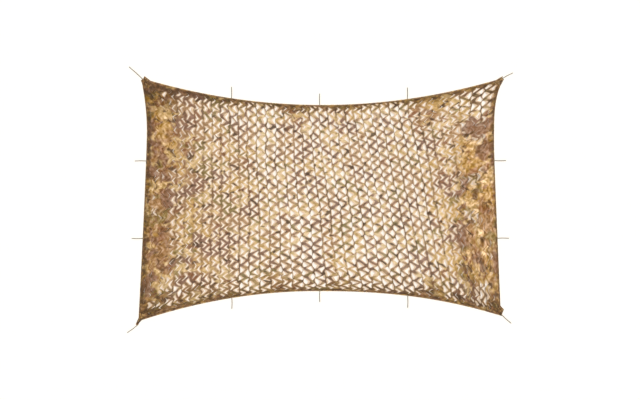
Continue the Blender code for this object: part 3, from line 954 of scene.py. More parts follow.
# %% Slit cloth tree: the finished cloth
print_column = node(cloth_tree, MATH, column, zigzag, operation="ADD")
print_x = node(cloth_tree, MATH, print_column, given.outputs["Cell Width"], operation="MULTIPLY")
print_y = node(cloth_tree, MATH, row, given.outputs["Cell Height"], operation="MULTIPLY")
for_the_dye = {
    "cloth_place": (node(cloth_tree, "ShaderNodeCombineXYZ", print_x, print_y), "FLOAT_VECTOR"),
    "openness": (openness, "FLOAT"),
    "cut_edge": (lip, "FLOAT"),
    "tight": (strand_shade_share, "FLOAT"),
    "gathered": (in_shade, "FLOAT"),
    "fold": (fold, "FLOAT"),
    "crumpled": (crumpled, "FLOAT"),
}
for attribute, (value, kind) in for_the_dye.items():
    cloth = node(
        cloth_tree, "GeometryNodeStoreNamedAttribute", cloth, None, attribute, value,
        data_type=kind, domain="POINT",
    )
cloth = node(cloth_tree, "GeometryNodeSetPosition", cloth, None, drawn_place)
for spent in ("opening", "zigzag"):
    cloth = node(cloth_tree, "GeometryNodeRemoveAttribute", cloth, spent)
cloth = node(cloth_tree, "GeometryNodeRealizeInstances", cloth)
cloth = node(cloth_tree, "GeometryNodeSetMaterial", cloth, None, given.outputs["Material"])
node(cloth_tree, "NodeGroupOutput", cloth)
print("slit cloth tree:", len(cloth_tree.nodes), "nodes")

# %% [markdown]
# ## The dyes
# The cloth is a plain-woven polyester, printed in the sand, ochre, olive and browns of dry country. Its
# patches are soft-edged, because the dye spreads along the threads. An image could hold such a print, but
# noise never repeats and stays sharp from any distance. So each patch colour is one layer of noise, cut at
# a threshold, over the sandy ground. The pattern reads the place on the flat, unslit cloth, so it bends and
# parts with the net as a real print does.
#
# Noise of scale 1 has blotches half a metre across, so 0.5 divided by a size gives blotches of that size.

# %% The print
Patch = namedtuple("Patch", "colour size stretch cover softness")
GROUND = ("b48e64", "916e4d")
GROUND_SIZE = 0.055
PATCHES = (
    Patch("c19c60", 0.110, 0.9, 0.40, 0.08),
    Patch("867445", 0.075, 1.0, 0.20, 0.08),
    Patch("826150", 0.095, 0.8, 0.33, 0.08),
    Patch("d5b581", 0.065, 1.0, 0.20, 0.08),
    Patch("8a5f42", 0.040, 0.9, 0.04, 0.06),
    Patch("4f3a2a", 0.030, 0.9, 0.07, 0.09),
)
PATCH_SHIFT = (3.7, 1.9, 0.0)
PATCH_STRENGTH = 0.9
PATCH_RAGGEDNESS = 0.3
NOISE_SPREAD = 0.13
BELL_SLOPE = 1.9


def noise_threshold(cover):
    """The noise value that a share of the cloth lies above; noise gathers round 0.5 like a bell."""
    return 0.5 + NOISE_SPREAD * (0.5 - cover) * BELL_SLOPE


def desert_print(tree, cloth_place):
    """The nodes for the print: a mottled ground with patches over it, each from its own part of the noise."""
    ground = node(tree, "ShaderNodeTexNoise", cloth_place, None, 0.5 / GROUND_SIZE, 3.0, 0.6)
    dyes = [(ground, GROUND[1])]
    for number, patch in enumerate(PATCHES):
        shift = tuple(number * step for step in PATCH_SHIFT)
        stretch = (1.0, patch.stretch, 1.0)
        place = node(tree, "ShaderNodeMapping", cloth_place, named={"Location": shift, "Scale": stretch})
        noise = node(
            tree, "ShaderNodeTexNoise", place, None, 0.5 / patch.size, 2.5, 0.55,
            named={"Distortion": PATCH_RAGGEDNESS},
        )
        level = noise_threshold(patch.cover)
        cover = node(
            tree, "ShaderNodeMapRange", noise, level - patch.softness / 2, level + patch.softness / 2,
            0.0, PATCH_STRENGTH, interpolation_type="SMOOTHSTEP",
        )
        dyes.append((cover, patch.colour))
    colour = linear(GROUND[0])
    for amount, dye in dyes:
        layer = node(tree, "ShaderNodeMix", amount, data_type="RGBA", named={6: colour, 7: linear(dye)})
        colour = layer.outputs[2]
    return colour


for patch in PATCHES:
    print(f"#{patch.colour}: {1000 * patch.size:.0f} mm across, over {100 * patch.cover:.0f}% of the cloth")

# %% [markdown]
# Then the wear and the painted light. Cloth that was crumpled has faded towards ochre, and the threads take
# the dye unevenly. The ridges of the folds get a painted highlight and the valleys painted shade, and where
# the cloth is crumpled, fine crinkles are painted as pale and dark streaks. Darker cloth is made deeper in
# colour than pale cloth, and cloth that is drawn open is paler and a touch yellower, so the depth and the hue
# follow along. The left of the net is painted a little darker, as painted shade away from the lamp.
#
# Numbers for a Map Range node come in fours: a value from low to high becomes one from at_low to at_high.

# %% Wear and painted fold light
Span = namedtuple("Span", "low high at_low at_high")
FADED_COLOUR = "a87b3c"
FADED = 0.26
MOTTLE_SIZE = 0.011
MOTTLE = Span(0.30, 0.70, 0.68, 1.32)
# Painted fold light: valleys darker and ridges paler.
FOLD_LIGHT_AND_SHADE = Span(-1.0, 1.6, 0.74, 1.37)
# Fine crinkles painted as pale and dark streaks.
CRINKLE_SIZE = 0.014
CRINKLE_STRETCH = (1.0, 0.6, 1.0)
CRINKLE_LIGHT_AND_SHADE = Span(0.38, 0.62, -0.34, 0.36)
DEPTH = Span(0.55, 1.55, 1.22, 0.82)
DEPTH_WHERE_OPEN = -0.16
DEPTH_WHERE_SHADED = 0.08
HUE_WHERE_OPEN = Span(0.0, 1.0, 0.4970, 0.5055)
# Painted shade towards the left of the net.
LEFT_SIDE_SHADE = Span(0.6, 1.0, 0.95, 1.0)


def worn_and_shaded_dye(tree, colour, cloth_place, across, stored):
    """The nodes that fade and mottle a colour and paint shade and highlights on it, by the attributes on the
    cloth.
    """
    faded = node(tree, MATH, stored["crumpled"], FADED, operation="MULTIPLY", use_clamp=True)
    faded = node(tree, "ShaderNodeMix", faded, data_type="RGBA", named={6: colour, 7: linear(FADED_COLOUR)})
    colour = faded.outputs[2]
    mottle = node(tree, "ShaderNodeTexNoise", cloth_place, None, 0.5 / MOTTLE_SIZE, 2.0, 0.5)
    mottle = node(tree, "ShaderNodeMapRange", mottle, *MOTTLE)
    # Painted highlight on the fold ridges and painted shade in their valleys.
    fold_light_and_shade = node(tree, "ShaderNodeMapRange", stored["fold"], *FOLD_LIGHT_AND_SHADE)
    # Crinkles painted as pale and dark streaks where the cloth is crumpled.
    crinkle_place = node(tree, "ShaderNodeMapping", cloth_place, named={"Scale": CRINKLE_STRETCH})
    crinkle_light_and_shade = node(tree, "ShaderNodeTexNoise", crinkle_place, None, 0.5 / CRINKLE_SIZE, 2.0, 0.6)
    crinkle_light_and_shade = node(tree, "ShaderNodeMapRange", crinkle_light_and_shade, *CRINKLE_LIGHT_AND_SHADE)
    crinkle_light_and_shade = node(tree, MATH, crinkle_light_and_shade, stored["crumpled"], 1.0, operation="MULTIPLY_ADD")
    strength = node(tree, MATH, fold_light_and_shade, crinkle_light_and_shade, operation="MULTIPLY")
    strength = node(tree, MATH, mottle, strength, operation="MULTIPLY")
    mottle_and_fold_light = node(
        tree, "ShaderNodeMix", 1.0, data_type="RGBA", blend_type="MULTIPLY", named={6: colour, 7: strength}
    )
    colour = mottle_and_fold_light.outputs[2]
    # Darker cloth, painted shade included, is made deeper in colour.
    depth = node(tree, "ShaderNodeMapRange", strength, *DEPTH)
    depth = node(tree, MATH, stored["openness"], DEPTH_WHERE_OPEN, depth, operation="MULTIPLY_ADD")
    depth = node(tree, MATH, stored["gathered"], DEPTH_WHERE_SHADED, depth, operation="MULTIPLY_ADD")
    hue = node(tree, "ShaderNodeMapRange", stored["openness"], *HUE_WHERE_OPEN)
    # Painted shade towards the left of the net.
    left_side_shade = node(tree, "ShaderNodeMapRange", across, *LEFT_SIDE_SHADE)
    return node(tree, "ShaderNodeHueSaturation", hue, depth, left_side_shade, 1.0, colour).outputs[0]


print("mottle:", MOTTLE[2:], "times the dye; valleys and ridges:", FOLD_LIGHT_AND_SHADE[2:], "times")

# %% [markdown]
# Over the dye lies painted shade in dark olive brown, laid on as four thin coats: an even one for the hems,
# streaks in the folds of the corners and beside the hems, small pockets between the cloth's crumples, and
# whole columns of the narrow strands. Where a cut edge curls up, it is painted pale cream, as a painted
# highlight.

# %% Painted shade and painted highlights on cut edges
# The colour of the painted shade, and the pale cream painted on the cut edges as a highlight.
SHADE_COLOUR = "463018"
LIP_HIGHLIGHT_COLOUR = "e0c4a6"
STREAK_SIZE = 0.016
STREAKS = Span(0.38, 0.62, 0.45, 1.10)
FOLD_SHADE = Span(0.1, 0.9, 0.0, 0.85)
# Painted shade along the narrow strands, in long streaks up the columns.
STRAND_STREAK_SIZE = 0.150
STRAND_STREAK_STRETCH = (2.4, 0.5, 1.0)
STRAND_STREAKS = Span(0.36, 0.60, 0.15, 1.0)
POCKET_SIZE = 0.022
POCKET_SHIFT = (5.1, 2.3, 0.0)
POCKETS = Span(0.57, 0.67, 0.0, 0.90)
POCKETS_IN_CRUMPLES = 0.35
LIP_HIGHLIGHT = Span(0.1, 0.6, 0.0, 0.90)


def shaded_dye(tree, colour, cloth_place, stored, even_shade):
    """The nodes that lay the four coats of painted shade and the painted highlight of the cut edges over a
    colour.
    """
    streaks = node(tree, "ShaderNodeTexNoise", cloth_place, None, 0.5 / STREAK_SIZE, 2.0, 0.5)
    streaks = node(tree, "ShaderNodeMapRange", streaks, *STREAKS)
    folds = node(tree, "ShaderNodeMapRange", stored["gathered"], *FOLD_SHADE)
    folds = node(tree, MATH, folds, streaks, operation="MULTIPLY")
    strand_streak_place = node(tree, "ShaderNodeMapping", cloth_place, named={"Scale": STRAND_STREAK_STRETCH})
    strand_streaks = node(tree, "ShaderNodeTexNoise", strand_streak_place, None, 0.5 / STRAND_STREAK_SIZE, 1.0, 0.5)
    strand_streaks = node(tree, "ShaderNodeMapRange", strand_streaks, *STRAND_STREAKS)
    strand_painted_shade = node(tree, MATH, stored["tight"], strand_streaks, operation="MULTIPLY")
    pocket_place = node(tree, "ShaderNodeMapping", cloth_place, named={"Location": POCKET_SHIFT})
    pockets = node(tree, "ShaderNodeTexNoise", pocket_place, None, 0.5 / POCKET_SIZE, 1.0, 0.5)
    pockets = node(tree, "ShaderNodeMapRange", pockets, *POCKETS)
    hidden = node(tree, MATH, stored["crumpled"], POCKETS_IN_CRUMPLES, operation="MULTIPLY")
    hidden = node(tree, MATH, stored["gathered"], hidden, operation="MAXIMUM")
    pockets = node(tree, MATH, pockets, hidden, operation="MULTIPLY")
    # Painted highlight on the curled cut edges.
    lip_highlight = node(tree, "ShaderNodeMapRange", stored["cut_edge"], *LIP_HIGHLIGHT, interpolation_type="SMOOTHSTEP")
    coats = [(amount, SHADE_COLOUR) for amount in (even_shade, folds, pockets, strand_painted_shade)]
    for amount, coat in [*coats, (lip_highlight, LIP_HIGHLIGHT_COLOUR)]:
        layer = node(tree, "ShaderNodeMix", amount, data_type="RGBA", named={6: colour, 7: linear(coat)})
        colour = layer.outputs[2]
    return colour


print("shade over the dye: #" + SHADE_COLOUR + ", reverse of the cloth: #" + LIP_HIGHLIGHT_COLOUR)

# %% [markdown]
# The same dyed cloth is used twice, for the net and for the folded hems, so one function makes it, with a
# number for how much even shade lies over it. A woven cloth shows its threads as a fine grid. Its real
# threads are four to the millimetre, too fine to draw, so the grid here is drawn at ten times that, as a
# low relief. Polyester cloth is matt, with the slight sheen of its loose fibres.

# %% Printed polyester
REAL_THREAD_PITCH = 0.00025
DRAWN_THREAD_PITCH = 10 * REAL_THREAD_PITCH
STORED = ("gathered", "cut_edge", "tight", "fold", "crumpled", "openness")
HEM_EVEN_SHADE = 0.22


def new_material(name):
    """A new material, with its tree and its shader."""
    material = bpy.data.materials.new(name)
    material.use_nodes = True
    return material, material.node_tree, material.node_tree.nodes["Principled BSDF"]


def printed_polyester(name, even_shade):
    """Plain-woven polyester in a desert print: dull, with a slight sheen where threads turn to the light."""
    material, tree, shader = new_material(name)
    cloth_place = node(tree, "ShaderNodeAttribute", attribute_name="cloth_place").outputs["Vector"]
    stored = {}
    for attribute in STORED:
        stored[attribute] = node(tree, "ShaderNodeAttribute", attribute_name=attribute).outputs["Fac"]
    across, along = node(tree, "ShaderNodeSeparateXYZ", cloth_place).outputs[:2]
    colour = desert_print(tree, cloth_place)
    colour = worn_and_shaded_dye(tree, colour, cloth_place, across, stored)
    colour = shaded_dye(tree, colour, cloth_place, stored, even_shade)
    tree.links.new(colour, shader.inputs["Base Color"])

    threads = []
    for place in (across, along):
        turns = node(tree, MATH, place, math.tau / DRAWN_THREAD_PITCH, operation="MULTIPLY")
        threads.append(node(tree, MATH, turns, operation="SINE"))
    weave = node(tree, MATH, *threads, operation="MULTIPLY")
    relief = node(tree, "ShaderNodeBump", named={"Strength": 0.35, "Distance": 0.0003, "Height": weave})
    tree.links.new(relief.outputs[0], shader.inputs["Normal"])
    shader.inputs["Roughness"].default_value = 0.86
    shader.inputs["Specular IOR Level"].default_value = 0.3
    shader.inputs["Sheen Weight"].default_value = 0.2
    shader.inputs["Sheen Roughness"].default_value = 0.5
    return material


net_cloth = printed_polyester("printed_polyester_net", 0.0)
hem_cloth = printed_polyester("printed_polyester_hem", HEM_EVEN_SHADE)
print("printed polyester:", len(net_cloth.node_tree.nodes), "nodes, used on the net and on its hems")

# %% [markdown]
# ## The net
# Everything is ready for the main piece. A plain object gets the slit-cloth tree and its sizes, and a
# Solidify modifier gives the cloth its thickness. The result is then kept as a plain mesh, which is what
# the other tools read. One repeat of the pattern takes 59.2 by 91 mm of flat cloth.

# %% The net
FLAT_CELL = (0.0592, 0.091)
CLOTH_THICK = 0.001
UNEVENNESS = 0.85
WANDER = 0.42
FOLD_RISE = 0.012

net = bpy.data.objects.new("net", bpy.data.meshes.new("net"))
scene.collection.objects.link(net)
use_tree(
    net,
    cloth_tree,
    {
        "Cell": pattern_cell,
        "Columns": COLUMNS,
        "Rows": ROWS,
        "Cell Width": FLAT_CELL[0],
        "Cell Height": FLAT_CELL[1],
        "Unevenness": UNEVENNESS,
        "Wander": WANDER,
        "Pleat Height": FOLD_RISE,
        "Gather Height": FOLD_RISE,
        "Material": net_cloth,
    },
)
thickness = net.modifiers.new("thickness", "SOLIDIFY")
thickness.thickness = CLOTH_THICK
thickness.offset = 1.0
keep_shape(net, crease_degrees=50)
net_triangles = sum(len(face.vertices) - 2 for face in net.data.polygons)
print("net:", net_triangles, "triangles,", [round(v, 3) for v in net.dimensions])

# %% [markdown]
# ## The folded hems
# Each raw edge is folded over twice and sewn down, so the hem is a strip three or four cloths thick. It
# puckers a little between stitches, and both its ends run out past the corner as a short tail. A flattened
# ring swept along the hem line gives this, with its width falling at the tails. A curve with a bevel could
# be swept too, but a tree also sets the puckers and the pinch of each stitch.

# %% The hems' lines
SIDES = ("top", "bottom", "left", "right")
HEM_INSET = HEM_WIDTH / 2
LINE_POINTS = 60


def evenly(first, last):
    """Even steps from one number to another."""
    return [first + (last - first) * i / LINE_POINTS for i in range(LINE_POINTS + 1)]


def hem_route(side, inset):
    """Points along a hem from tail to tail, the given distance in from the rim."""
    corners = {corner.name: corner for corner in CORNERS}
    if side in ("top", "bottom"):
        hem, sign = (TOP, 1) if side == "top" else (BOTTOM, -1)
        first, last = corners[f"{side}_left"], corners[f"{side}_right"]
        middle = [(x, sign * (hem_distance(hem, x) - inset)) for x in evenly(first.hem_x, last.hem_x)]
        return [first.long_tail, *middle, last.long_tail]
    hem, sign = (RIGHT, 1) if side == "right" else (LEFT, -1)
    first, last = corners[f"bottom_{side}"], corners[f"top_{side}"]
    middle = [(sign * (hem_distance(hem, y) - inset), y) for y in evenly(first.hem_y, last.hem_y)]
    return [first.side_tail, *middle, last.side_tail]


def at_height(points, height):
    """The same points, at that height."""
    return [(x, y, height) for x, y in points]


for side in SIDES:
    points = [Vector(point) for point in hem_route(side, HEM_INSET)]
    print(side, "hem:", round(sum((b - a).length for a, b in zip(points, points[1:])), 3), "m")

# %% [markdown]
# The tree stores two things for the dye on its way: where the print lies along the hem, which holds more
# print to the metre because it is folded, and how much painted shade it takes. A hem takes as much painted
# shade as its input says, and more in its tails.

# %% Folded hem tree
STITCH_PITCH = 0.008
HEM_STEP = STITCH_PITCH / 3
HEM_SIDES = 10
PUCKER_LENGTH = 0.022
STITCH_PINCH = 0.06
FOLDED_PRINT = 2.2

hem_tree, given = new_tree(
    "folded hem",
    {
        "Width": "Float",
        "Thickness": "Float",
        "Pucker": "Float",
        "Tail": "Float",
        "Tail Share": "Float",
        "Soiled": "Float",
        "Material": "Material",
    },
)
tail = given.outputs["Tail"]
path = node(hem_tree, "GeometryNodeMeshToCurve", given)
path = node(hem_tree, "GeometryNodeResampleCurve", path, named={"Length": HEM_STEP}, mode="LENGTH")
along_hem = node(hem_tree, "GeometryNodeSplineParameter").outputs["Length"]
to_end = node(hem_tree, MATH, node(hem_tree, "GeometryNodeSplineLength"), along_hem, operation="SUBTRACT")
to_tail = node(hem_tree, MATH, along_hem, to_end, operation="MINIMUM")
# Painted shade along the hem, strongest in its tails.
dark = node(hem_tree, "ShaderNodeMapRange", to_tail, 0.0, tail, 1.0, given.outputs["Soiled"])
print_along = node(hem_tree, MATH, along_hem, FOLDED_PRINT, operation="MULTIPLY")
print_place = node(hem_tree, "ShaderNodeCombineXYZ", print_along)
for attribute, value, kind in (("gathered", dark, "FLOAT"), ("cloth_place", print_place, "FLOAT_VECTOR")):
    path = node(
        hem_tree, "GeometryNodeStoreNamedAttribute", path, None, attribute, value,
        data_type=kind, domain="POINT",
    )
path = node(hem_tree, "GeometryNodeSetCurveNormal", path, mode="Z_UP")
full = node(hem_tree, "ShaderNodeMapRange", to_tail, 0.0, tail, given.outputs["Tail Share"], 1.0)
pucker_place = node(hem_tree, MATH, along_hem, 1 / PUCKER_LENGTH, operation="MULTIPLY")
pucker = node(hem_tree, "ShaderNodeTexNoise", noise_dimensions="1D", named={"W": pucker_place, "Scale": 1.0})
pucker = node(hem_tree, MATH, pucker, -0.5, operation="ADD")
pucker = node(hem_tree, MATH, pucker, given.outputs["Pucker"], full, operation="MULTIPLY_ADD")
pinch = node(hem_tree, MATH, along_hem, math.tau / STITCH_PITCH, operation="MULTIPLY")
pinch = node(hem_tree, MATH, pinch, operation="COSINE")
scale = node(hem_tree, MATH, pinch, -STITCH_PINCH, pucker, operation="MULTIPLY_ADD")

half_size = node(hem_tree, "ShaderNodeCombineXYZ", given.outputs["Width"], given.outputs["Thickness"])
half_size = node(hem_tree, "ShaderNodeVectorMath", half_size, (0.5, 0.5, 0.5), operation="MULTIPLY")
ring = node(hem_tree, "GeometryNodeCurvePrimitiveCircle", HEM_SIDES, named={"Radius": 1.0})
ring_place = node(hem_tree, "GeometryNodeInputPosition")
ring_place = node(hem_tree, "ShaderNodeVectorMath", ring_place, half_size, operation="MULTIPLY")
ring = node(hem_tree, "GeometryNodeSetPosition", ring, None, ring_place)
strip = node(hem_tree, "GeometryNodeCurveToMesh", path, ring, scale, True)
strip = node(hem_tree, "GeometryNodeSetShadeSmooth", strip)
strip = node(hem_tree, "GeometryNodeRealizeInstances", strip)
strip = node(hem_tree, "GeometryNodeSetMaterial", strip, None, given.outputs["Material"])
node(hem_tree, "NodeGroupOutput", strip)
print("folded hem tree:", len(hem_tree.nodes), "nodes")

# %% [markdown]
# One tree makes all four hems. The two side hems get more painted shade than the long ones. Towards a tail
# the hem narrows to under half its width.

# %% The four hems
HEM_THICK = 0.0026
HEM_HEIGHT = FLOOR_GAP + 0.0006
HEM_PUCKER = 0.5
TAIL_LENGTH = 0.05
TAIL_SHARE = 0.45
# How much painted shade each hem takes; the side hems take the most.
HEM_PAINTED_SHADE = {"top": 0.24, "bottom": 0.24, "left": 0.75, "right": 0.75}

hems = []
for side in SIDES:
    hem_piece = line_piece(f"hem_{side}", [at_height(hem_route(side, HEM_INSET), HEM_HEIGHT)])
    use_tree(
        hem_piece,
        hem_tree,
        {
            "Width": HEM_WIDTH,
            "Thickness": HEM_THICK,
            "Pucker": HEM_PUCKER,
            "Tail": TAIL_LENGTH,
            "Tail Share": TAIL_SHARE,
            "Soiled": HEM_PAINTED_SHADE[side],
            "Material": hem_cloth,
        },
    )
    hems.append(keep_shape(hem_piece, crease_degrees=60))
    print(hem_piece.name, len(hem_piece.data.polygons), "faces,", [round(v, 4) for v in hem_piece.dimensions])

# %% [markdown]
# ## The gathered corners
# The hems pull each corner together, and the cloth between them is crumpled into a few folds that run to
# the tie. Sculpting could do this. Here the patch is a small grid between the last stretch of one hem and
# that of the other, with a wave across it, and the wave dies away where the patch meets the hems. Towards
# the tip the patch is drawn to the tie's root, so the two tails leave a small notch or a point between
# them.

# %% Where a corner's folds lie
CORNER_REACH = {"top_left": 0.075, "top_right": 0.030, "bottom_right": 0.075, "bottom_left": 0.075}
CORNER_FOLDS = 4
FOLD_SWAY = 0.9
SWAY_TURN = 3
FOLD_HEIGHT = 0.0065
FOLD_LOW = 0.35
SWELL_PACE = 1.15
SWELL_POWER = 0.8
FOLD_SEAT = 0.0008
HEM_FADE = 9


def place_on(route, share):
    """The point at that share of a short route's length."""
    lengths = [(b - a).length for a, b in zip(route, route[1:])]
    left = share * sum(lengths)
    for start, end, length in zip(route, route[1:], lengths):
        if left <= length:
            return start.lerp(end, left / length)
        left -= length
    return route[-1]


def corner_signs(corner):
    """Which way a corner points: 1 for right and top, -1 for left and bottom."""
    return (1 if "right" in corner.name else -1), (1 if "top" in corner.name else -1)


def corner_routes(corner):
    """The last stretch of each hem that meets at a corner, from the net out to its tail."""
    end_x, end_y = corner_signs(corner)
    long_hem = TOP if end_y > 0 else BOTTOM
    side_hem = RIGHT if end_x > 0 else LEFT
    xs = corner.hem_x - end_x * CORNER_REACH[corner.name], corner.hem_x
    ys = corner.hem_y - end_y * CORNER_REACH[corner.name], corner.hem_y
    long_route = [Vector((x, end_y * (hem_distance(long_hem, x) - HEM_INSET))) for x in xs]
    side_route = [Vector((end_x * (hem_distance(side_hem, y) - HEM_INSET), y)) for y in ys]
    return [*long_route, Vector(corner.long_tail)], [*side_route, Vector(corner.side_tail)]


def corner_fold(u, v, end_x):
    """(how far up a fold, height) of a point: u goes from hem to hem, and v from the net out to the tip."""
    sway = FOLD_SWAY * math.sin(SWAY_TURN * v + end_x)
    wave = 0.5 - 0.5 * math.cos(math.tau * CORNER_FOLDS * u + sway)
    swell = math.sin(math.pi * min(1.0, v * SWELL_PACE)) ** SWELL_POWER
    rise = FOLD_HEIGHT * (FOLD_LOW + (1 - FOLD_LOW) * swell)
    by_hem = min(1.0, HEM_FADE * u, HEM_FADE * (1 - u))
    return wave, FLOOR_GAP + FOLD_SEAT + wave * rise * by_hem


for corner in CORNERS:
    fold_length = (Vector(corner.root) - corner_routes(corner)[0][0]).length
    print(corner.name, "corner: folds", round(1000 * fold_length), "mm long")

# %% [markdown]
# Each point of a patch is given what the dye asks for too: cloth this close takes painted shade, is crumpled,
# and gets a painted highlight on its crests and painted shade in its troughs. The print is packed closer as
# well, because more cloth lies in the same place.
# All four patches go into one mesh, and the last line checks that its faces point up.

# %% The four corners
CORNER_ROWS = 18
CORNER_LINES = 40
# Painted shade in the gathered corners, deepest at the tip.
CORNER_DARK = 0.75
CORNER_CRUMPLED = 0.8
GATHERED_PRINT = 1.6


def corner_patch(cloth, corner):
    """Adds one corner's folds to the mesh that is being built."""
    end_x, end_y = corner_signs(corner)
    long_route, side_route = corner_routes(corner)
    notch = Vector(corner.root) - (long_route[-1] + side_route[-1]) / 2
    numbers, places = cloth.verts.layers.float, cloth.verts.layers.float_vector
    rows = []
    for step in range(CORNER_ROWS + 1):
        v = step / CORNER_ROWS
        row = []
        for line in range(CORNER_LINES + 1):
            u = line / CORNER_LINES
            spot = place_on(long_route, v).lerp(place_on(side_route, v), u) + notch * 4 * u * (1 - u) * v**4
            wave, height = corner_fold(u, v, end_x)
            point = cloth.verts.new((spot.x, spot.y, height))
            point[numbers["gathered"]] = CORNER_DARK + (1 - CORNER_DARK) * v
            # Painted highlight on the crests of the corner folds and painted shade in their troughs.
            point[numbers["fold"]] = 2 * CORNER_CRUMPLED * wave - CORNER_CRUMPLED
            point[numbers["crumpled"]] = CORNER_CRUMPLED
            point[places["cloth_place"]] = (spot.x * GATHERED_PRINT, spot.y * GATHERED_PRINT, 0.0)
            row.append(point)
        rows.append(row)
    for low, high in zip(rows, rows[1:]):
        for line in range(CORNER_LINES):
            face = (low[line], low[line + 1], high[line + 1], high[line])
            cloth.faces.new(face if end_x * end_y < 0 else face[::-1])


corner_mesh = bmesh.new()
for attribute in ("gathered", "fold", "crumpled"):
    corner_mesh.verts.layers.float.new(attribute)
corner_mesh.verts.layers.float_vector.new("cloth_place")
for corner in CORNERS:
    corner_patch(corner_mesh, corner)
bmesh.ops.recalc_face_normals(corner_mesh, faces=corner_mesh.faces)
upward = sum(face.normal.z * face.calc_area() for face in corner_mesh.faces)
gathered_mesh = bpy.data.meshes.new("corner_gathers")
corner_mesh.to_mesh(gathered_mesh)
corner_mesh.free()
gathered_mesh.materials.append(net_cloth)
corner_gathers = bpy.data.objects.new("corner_gathers", gathered_mesh)
scene.collection.objects.link(corner_gathers)
thickness = corner_gathers.modifiers.new("thickness", "SOLIDIFY")
thickness.thickness = CLOTH_THICK
thickness.offset = 0.0
keep_shape(corner_gathers, crease_degrees=60)
print("corner folds:", len(corner_gathers.data.polygons), "faces, facing up:", upward > 0)

# %% [markdown]
# ## The stitches
# One line of lock stitches holds each hem down, and a tack of a few close stitches holds each tie. On a
# real net a stitch is 3 mm long in thread 0.3 mm thick, which can't be seen from where the camera is. These
# are drawn longer and fatter, so that they show. A stitch is a short arched thread, and Geometry Nodes sets
# it down along any line.

# %% Stitch tree
STITCH_SIDES = 5

stitch_tree, given = new_tree(
    "stitches",
    {
        "Pitch": "Float",
        "Length": "Float",
        "Rise": "Float",
        "Thread": "Float",
        "Turned": "Float",
        "Material": "Material",
    },
)
line = node(stitch_tree, "GeometryNodeMeshToCurve", given)
places = node(
    stitch_tree, "GeometryNodeCurveToPoints", line, named={"Length": given.outputs["Pitch"]}, mode="LENGTH"
)
facing = node(
    stitch_tree, "FunctionNodeAlignRotationToVector", named={"Vector": places.outputs["Tangent"]},
    axis="X", pivot_axis="Z",
)
turned = node(stitch_tree, "ShaderNodeCombineXYZ", None, None, given.outputs["Turned"])
facing = node(stitch_tree, "FunctionNodeRotateRotation", facing, turned, rotation_space="LOCAL")
half_long = node(stitch_tree, MATH, given.outputs["Length"], 0.5, operation="MULTIPLY")
back_long = node(stitch_tree, MATH, half_long, -1.0, operation="MULTIPLY")
sunk = node(stitch_tree, MATH, given.outputs["Thread"], -0.5, operation="MULTIPLY")
twice_rise = node(stitch_tree, MATH, given.outputs["Rise"], 2.0, operation="MULTIPLY")
start = node(stitch_tree, "ShaderNodeCombineXYZ", back_long, None, sunk)
middle = node(stitch_tree, "ShaderNodeCombineXYZ", None, None, twice_rise)
end = node(stitch_tree, "ShaderNodeCombineXYZ", half_long, None, sunk)
arch = node(stitch_tree, "GeometryNodeCurveQuadraticBezier", 4, start, middle, end)
half_thread = node(stitch_tree, MATH, given.outputs["Thread"], 0.5, operation="MULTIPLY")
ring = node(stitch_tree, "GeometryNodeCurvePrimitiveCircle", STITCH_SIDES, named={"Radius": half_thread})
stitch = node(stitch_tree, "GeometryNodeCurveToMesh", arch, ring, None, True)
stitch = node(stitch_tree, "GeometryNodeSetShadeSmooth", stitch)
stitches = node(stitch_tree, "GeometryNodeInstanceOnPoints", places, None, stitch, named={"Rotation": facing})
stitches = node(stitch_tree, "GeometryNodeRealizeInstances", stitches)
stitches = node(stitch_tree, "GeometryNodeSetMaterial", stitches, None, given.outputs["Material"])
node(stitch_tree, "NodeGroupOutput", stitches)
print("stitch tree:", len(stitch_tree.nodes), "nodes")

# %% [markdown]
# Sewing thread is spun from short polyester fibres and twisted, so it is matt and shows fine slanting
# lines. A wave along the diagonal draws them. At scale 1 such a wave repeats every tau / 10 metres.

# %% Sewing thread
THREAD_TWIST = 0.0009
THREAD_COLOURS = ("7d6640", "b99a68")


def sewing_thread():
    """Spun polyester thread in tan: matt, with the fine slanting lines of its twist."""
    material, tree, shader = new_material("spun_polyester_thread")
    place = node(tree, "ShaderNodeTexCoord").outputs["Object"]
    twist = node(
        tree, "ShaderNodeTexWave", place, math.tau / 10 / THREAD_TWIST, 1.5, 1.0, bands_direction="DIAGONAL"
    )
    dark, pale = [linear(colour) for colour in THREAD_COLOURS]
    colour = node(tree, "ShaderNodeMix", twist, data_type="RGBA", named={6: dark, 7: pale})
    tree.links.new(colour.outputs[2], shader.inputs["Base Color"])
    shader.inputs["Roughness"].default_value = 0.7
    shader.inputs["Sheen Weight"].default_value = 0.15
    return material


thread = sewing_thread()
print("thread:", thread.name, "with a turn every", 1000 * THREAD_TWIST, "mm")

# %% [markdown]
# The line of stitches runs 7.5 mm in from the rim, near the hem's inner fold, where it catches every layer.
# A stitch is drawn a bit shorter than the pitch, so that there is a gap at each needle hole.

# %% Stitch the hems
STITCH_INSET = HEM_INSET + 0.0025
STITCH_HEIGHT = HEM_HEIGHT + 0.0009

stitch_lines = [at_height(hem_route(side, STITCH_INSET)[1:-1], STITCH_HEIGHT) for side in SIDES]
hem_stitches = line_piece("hem_stitches", stitch_lines)
use_tree(
    hem_stitches,
    stitch_tree,
    {
        "Pitch": STITCH_PITCH,
        "Length": 0.0062,
        "Rise": 0.0007,
        "Thread": 0.0009,
        "Turned": 0.0,
        "Material": thread,
    },
)
keep_shape(hem_stitches)
print("hem stitches:", len(hem_stitches.data.polygons), "faces")

# %% [markdown]
# A bar tack is a row of stitches set side by side across what it holds. So the same tree makes it, with its
# stitches turned by a quarter and set so close that they nearly touch.

# %% Tack the ties
TACK_FROM_TO = (0.0075, 0.0005)
TACK_SUNK = 0.0006

